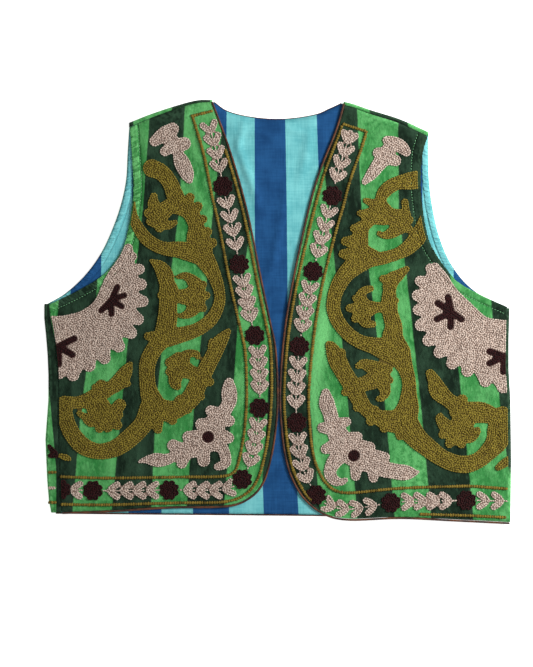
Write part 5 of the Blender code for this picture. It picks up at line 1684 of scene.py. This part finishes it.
def lay_ground(name, side, x, y, field, thread, lift):
    """The shadowed ground under a motif's stitches: a grid cut and drawn in to the shape."""
    depth = field + GROUND_INSET
    slope_y, slope_x = np.gradient(field, BOARD_STEP)
    filled = np.argwhere(depth < GROUND_STEP)
    (j0, i0), (j1, i1) = filled.min(axis=0), filled.max(axis=0)
    columns, rows = (i1 - i0) // GROUND_STEP, (j1 - j0) // GROUND_STEP
    bm = bmesh.new()
    bmesh.ops.create_grid(bm, x_segments=columns, y_segments=rows, size=0.5)
    spots = np.array([vert.co[:2] for vert in bm.verts])
    i = i0 + GROUND_STEP * np.rint((spots[:, 0] + 0.5) * columns).astype(int)
    j = j0 + GROUND_STEP * np.rint((spots[:, 1] + 0.5) * rows).astype(int)
    over = np.clip(depth[j, i], 0, GROUND_STEP)
    px, py = x[j, i] - over * slope_x[j, i], y[j, i] - over * slope_y[j, i]
    height = front_mid(side, px, py) + VELVET / 2 + GROUND_SEAT + lift
    points = metres(np.column_stack([px, py, height]))
    for vert, point in zip(bm.verts, points):
        vert.co = point
    outside = depth[j, i] > GROUND_STEP * GROUND_CUT
    bare = [vert for vert, is_outside in zip(bm.verts, outside) if is_outside]
    bmesh.ops.delete(bm, geom=bare, context="VERTS")
    loose = [vert for vert in bm.verts if not vert.link_faces]
    bmesh.ops.delete(bm, geom=loose, context="VERTS")
    piece_of(name, mesh_of(name, bm), grounds[thread], THREADS[thread].slot, GROUND_WALL)


# %% Shapes of the stars and the garland
FLOWER_RADIUS = 12.2
PETALS = 8
# Parts of a flower as shares of its radius: its disc, how far out a petal's round end is, and a
# petal's half width at that end and at its root
DISC, PETAL_OUT, PETAL_END, PETAL_ROOT = 0.78, 0.7, 0.32, 0.3
# Half of a pair of leaves, and the bud that ends a garland: how far ahead, how far out, half width
LEAF = ((6.8, 0, 1.5), (1.4, 3.4, 4.0), (-4.6, 7.3, 4.1))
BUD = ((4, 0, 3.4), (-6.5, 0, 3.4))
# No leaves start this close to the garland's end
GARLAND_END = 2


def star_strokes(star):
    """One stroke from the star's middle for each arm."""
    return [((*star.middle, star.radius), (*arm, star.radius)) for arm in star.arms]


def flower_strokes(point):
    """A round flower: a disc with eight petals round it."""
    x, y = point
    r = FLOWER_RADIUS
    strokes = [((x - 0.1, y, r * DISC), (x + 0.1, y, r * DISC))]
    for k in range(PETALS):
        a = math.tau * (k + 0.5) / PETALS
        tip = (x + r * PETAL_OUT * math.cos(a), y + r * PETAL_OUT * math.sin(a), r * PETAL_END)
        strokes.append(((x, y, r * PETAL_ROOT), tip))
    return strokes


def beside(point, ahead, shape, way=1):
    """A stroke of a shape, with its points ahead of a point and out to one side of it."""
    across = np.array([-ahead[1], ahead[0]])
    return [(*(point + ahead * forth + across * out * way), radius)
            for forth, out, radius in shape]


def leaf_pair_strokes(point, ahead):
    """Two leaves in a V that points ahead along the garland."""
    return [beside(point, ahead, LEAF, way) for way in (-1, 1)]


def border_line(side, column):
    """A line that follows the front edge, as far in as the border's table says."""
    rows = BORDER[side]
    curve = edge_curve(side)
    along = lengths(curve)
    inset = np.interp(along, [r.along for r in rows], [getattr(r, column) for r in rows])
    return offset(curve, inward(side) * inset)


def leaf_distances(side):
    """How far along the garland each pair of leaves is."""
    flowers = FLOWER_AT[side][:LEAFED_FLOWERS]
    ends = [(flowers[0] + FIRST_LEAF, flowers[0] + LEAVES_END)]
    ends += [(a + LEAVES_START, b + LEAVES_END) for a, b in zip(flowers, flowers[1:])]
    ends.append((flowers[-1] + LEAVES_START, flowers[-1] + LEAVES_START + LAST_LEAVES))
    return np.concatenate([np.linspace(*pair, LEAVES_BETWEEN) for pair in ends])


def garland(side):
    """The middle line of the garland, its flowers and its leaves."""
    line = border_line(side, "garland")
    along = lengths(line)

    def at(distance):
        here = np.array([np.interp(distance, along, c) for c in line.T])
        there = np.array([np.interp(distance + 1, along, c) for c in line.T])
        return here, there - here

    flowers = [s for m in FLOWER_AT[side] for s in flower_strokes(at(m)[0])]
    leaves = [stroke for m in leaf_distances(side) if m < along[-1] - GARLAND_END
              for stroke in leaf_pair_strokes(*at(m))]
    if side == "left":
        # This garland starts with a bud
        leaves.append(beside(*at(leaf_distances(side)[0]), BUD))
    return line, flowers, leaves


for side in SIDES:
    print(side, "garland:", len(leaf_distances(side)), "places for a pair of leaves")


# %% Embroider both fronts
# Along the hem the left front's edge rolls under and hides its outer line, between these x and
# below this y
ROLLED_EDGE = (40, 168)
ROLLED_BELOW = -200
# How far the motifs keep within a front, and how far its board of points reaches past it
PANEL_MARGIN = 0.6
BOARD_MARGIN = 4
# How far stems keep from a flower and the front's edge, and border lines from the edge
STEM_CLEAR = 0.8
STEM_EDGE = 1
LINE_EDGE = 0.8
STEM_AFTER = 5
STEM_PITCH = 2.6
# Length, width and height of the stitches of a stem and of a border line
STEM_STITCH = (3.2, 1.9, 1.1)
LINE_STITCH = (3.9, 4.1, 1.5)


def embroider(side):
    """All the needlework of one front: its motifs, then the stem and the two border lines."""
    motif = NEEDLEWORK[side]
    outline = front_outlines[side]
    low, high = outline.min(axis=0) - BOARD_MARGIN, outline.max(axis=0) + BOARD_MARGIN
    x, y = board((*low, *high))
    panel = outline_field(outline, x, y) + PANEL_MARGIN

    def shape(strokes, *others):
        """The strokes within the panel, and outside each of the other shapes."""
        field = np.maximum(draw_strokes(x, y, strokes), panel)
        return np.maximum.reduce([field] + [-other for other in others])

    scroll, sprig = shape(motif.scroll), shape(motif.sprig)
    upper_star = shape(star_strokes(motif.upper_star))
    seam_star = shape(star_strokes(motif.seam_star))
    eye = shape([[motif.eye, (motif.eye[0] + 0.1, *motif.eye[1:])]])
    line, flower_shapes, leaf_shapes = garland(side)
    flowers = shape(flower_shapes)
    rosette = shape(motif.rosette, scroll)
    spray = shape(motif.spray, scroll)
    leaves = shape(leaf_shapes, flowers)
    # Each motif's stitches, the ground under them, its thread, and how far its ground is raised
    motifs = (
        ("scroll", scroll, scroll, "olive", 0),
        ("sprig", sprig, sprig, "pink", 0),
        ("rosette", np.maximum.reduce([rosette, -upper_star, -seam_star]), rosette, "pink", 0),
        ("upper_star", upper_star, upper_star, "dark", INLAY_LIFT),
        ("seam_star", seam_star, seam_star, "dark", INLAY_LIFT),
        ("spray", np.maximum(spray, -eye), spray, "pink", 0),
        ("spray_eye", eye, eye, "dark", INLAY_LIFT),
        ("flowers", flowers, flowers, "dark", 0),
        ("leaves", leaves, leaves, "pink", 0),
    )
    for name, field, under, thread, lift in motifs:
        work = sew(f"{name}_stitches_{side}", side, rows_within(x, y, field), thread)
        lay_ground(f"{name}_ground_{side}", side, x, y, under, thread, lift)
        if name == "leaves":
            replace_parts(work, f"garland_{side}")
        elif name != "flowers":
            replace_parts(work, f"{name}_{side}")

    def depth_at(field, spots):
        i = np.clip(np.rint((spots[:, 0] - x[0, 0]) / BOARD_STEP).astype(int), 0, x.shape[1] - 1)
        j = np.clip(np.rint((spots[:, 1] - y[0, 0]) / BOARD_STEP).astype(int), 0, x.shape[0] - 1)
        return field[j, i]

    stem = along_run(from_distance(line, leaf_distances(side)[0] + STEM_AFTER), STEM_PITCH)
    clear = (depth_at(flowers, stem) > STEM_CLEAR) & (depth_at(shape(leaf_shapes), stem) > 0)
    clear &= depth_at(panel, stem) < -STEM_EDGE
    sew(f"stem_stitches_{side}", side, stem[clear], "pink", STEM_STITCH)

    start = BORDER_START[side]
    outer = from_distance(border_line(side, "outer"), start.outer)
    along_edge = offset(edge_curve(side), inward(side) * start.inset)
    meeting = from_distance(along_edge, start.meet)[:1]
    inner = np.vstack([meeting, from_distance(border_line(side, "inner"), start.inner)])
    for name, path in (("inner_line", inner), ("outer_line", outer)):
        spots = along_run(path, STITCH_PITCH)
        spots = spots[depth_at(panel, spots) < -LINE_EDGE]
        if (name, side) == ("outer_line", "left"):
            rolled = (spots[:, 0] > ROLLED_EDGE[0]) & (spots[:, 0] < ROLLED_EDGE[1])
            spots = spots[~(rolled & (spots[:, 1] < ROLLED_BELOW))]
        work = sew(f"{name}_stitches_{side}", side, spots, "line", LINE_STITCH)
        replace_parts(work, f"{name}_{side}")


for side in SIDES:
    embroider(side)

# %% [markdown]
# The back is embroidered too. Where it comes up round the wearer's right side, scraps of its
# needlework show: the arm of a star, a leaf, a stem and the ends of two lines.

# %% The back's needlework where it comes up round the wearer's right side
STRIP_SPAN = (-270.5, -260.5)
STRIP_LINES = (-189.5, -225)
STRIP_BOARD = (-278.5, -220, -235, -135)
STRIP_WORK = (
    ("star", "dark", (((-269, -159, 2.8), (-263, -167, 4.2)), ((-268, -170, 3), (-261, -170, 3)))),
    ("leaf", "olive", (((-256, -170, 3), (-250, -172, 4), (-245, -174, 2.5)),)),
    ("stem", "pink", (((-269, -208, 2), (-263, -208, 2)),)),
)


def embroider_strip():
    x, y = board(STRIP_BOARD)
    for name, thread, strokes in STRIP_WORK:
        field = draw_strokes(x, y, strokes)
        sew(f"side_{name}_stitches", "right", rows_within(x, y, field), thread)
        lay_ground(f"side_{name}_ground", "right", x, y, field, thread, 0)
    rows = [along_run(np.array([(x_end, height) for x_end in STRIP_SPAN]), STITCH_PITCH)
            for height in STRIP_LINES]
    sew("side_line_stitches", "right", np.vstack(rows), "line", LINE_STITCH)


embroider_strip()

# %% [markdown]
# ## Plain sewing
#
# The armholes are turned in and held by a row of running stitches in green sewing thread.

# %% Topstitching round the armholes
TOPSTITCH_PITCH = 3.4
TOPSTITCH = (2.4, 0.8, 0.6)
TOPSTITCH_EDGE = 3

for side in SIDES:
    hem_line = offset(armhole_curve(side), STITCHED_HEM * inward(side))
    spots = along_run(hem_line, TOPSTITCH_PITCH)
    field = outline_field(front_outlines[side], spots[:, 0], spots[:, 1])
    sew(f"topstitch_stitches_{side}", side, spots[field < -TOPSTITCH_EDGE], "green", TOPSTITCH)

# %% [markdown]
# ## Floor, light and camera
#
# A white table that glows a little, a window at the wearer's left as the stronger light, a broad
# soft lamp overhead, and a camera straight above, far enough away that the garment hardly widens
# towards it.

# %% Stage
# In metres: half the table's side, and how far its top is below the garment
TABLE_REACH = 3.0
TABLE_BELOW = 0.0002


def add_floor():
    bm = bmesh.new()
    bmesh.ops.create_grid(bm, x_segments=1, y_segments=1, size=TABLE_REACH)
    bmesh.ops.translate(bm, verts=bm.verts, vec=(0, 0, -TABLE_BELOW))
    material, _, shader = cloth_material("white_light_table", roughness=0.9, sheen=0.0,
                                         sheen_tint="ffffff", specular=0.1)
    shader.inputs["Base Color"].default_value = linear("f7f7f6")
    shader.inputs["Emission Color"].default_value = linear("ffffff")
    shader.inputs["Emission Strength"].default_value = 0.7
    object_of("floor", mesh_of("floor", bm), material)


def add_light(name, at, size, power):
    data = bpy.data.lights.new(name, "AREA")
    data.shape = "DISK"
    data.size = size
    data.energy = power
    lamp = bpy.data.objects.new(name, data)
    lamp.location = at
    lamp.rotation_euler = (-Vector(at)).to_track_quat("-Z", "Y").to_euler()
    bpy.context.scene.collection.objects.link(lamp)
    print(f"{name}: {size} m across, {power} W")


add_floor()
add_light("window", at=(1.1, 0.4, 0.85), size=0.55, power=29.1)
add_light("ceiling", at=(0.5, -0.9, 2.4), size=2.2, power=13.4)
world = bpy.data.worlds.new("studio")
world.use_nodes = True
world.node_tree.nodes["Background"].inputs["Color"].default_value = (1, 1, 1, 1)
world.node_tree.nodes["Background"].inputs["Strength"].default_value = 0.27
bpy.context.scene.world = world
bpy.context.scene.view_settings.view_transform = "Standard"

# %% Camera
# The frame is 533 by 667 points, and each is 1.18 mm on the garment. All in metres
FRAME_TALL = 0.78706
CAMERA_AT = (-0.0133, -0.0251, 1.75)
CLOTH_TOP = 0.004
SENSOR_MM = 36
lens = bpy.data.cameras.new("overhead")
lens.sensor_width = SENSOR_MM
lens.lens = SENSOR_MM * (CAMERA_AT[2] - CLOTH_TOP) / FRAME_TALL
print(f"camera: {lens.lens:.1f} mm lens, {CAMERA_AT[2]} m up")
camera = bpy.data.objects.new("overhead", lens)
camera.location = CAMERA_AT
bpy.context.scene.collection.objects.link(camera)
bpy.context.scene.camera = camera

# %% Sizes and the end
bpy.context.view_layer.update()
depsgraph = bpy.context.evaluated_depsgraph_get()
triangles = {}
for piece in bpy.data.objects:
    if piece.type == "MESH" and piece.parent and not piece.hide_render:
        mesh = piece.evaluated_get(depsgraph).data
        triangles[piece.name] = sum(len(face.vertices) - 2 for face in mesh.polygons)
largest = max(triangles, key=triangles.get)
print("triangles in all:", sum(triangles.values()), "most in", largest, triangles[largest])
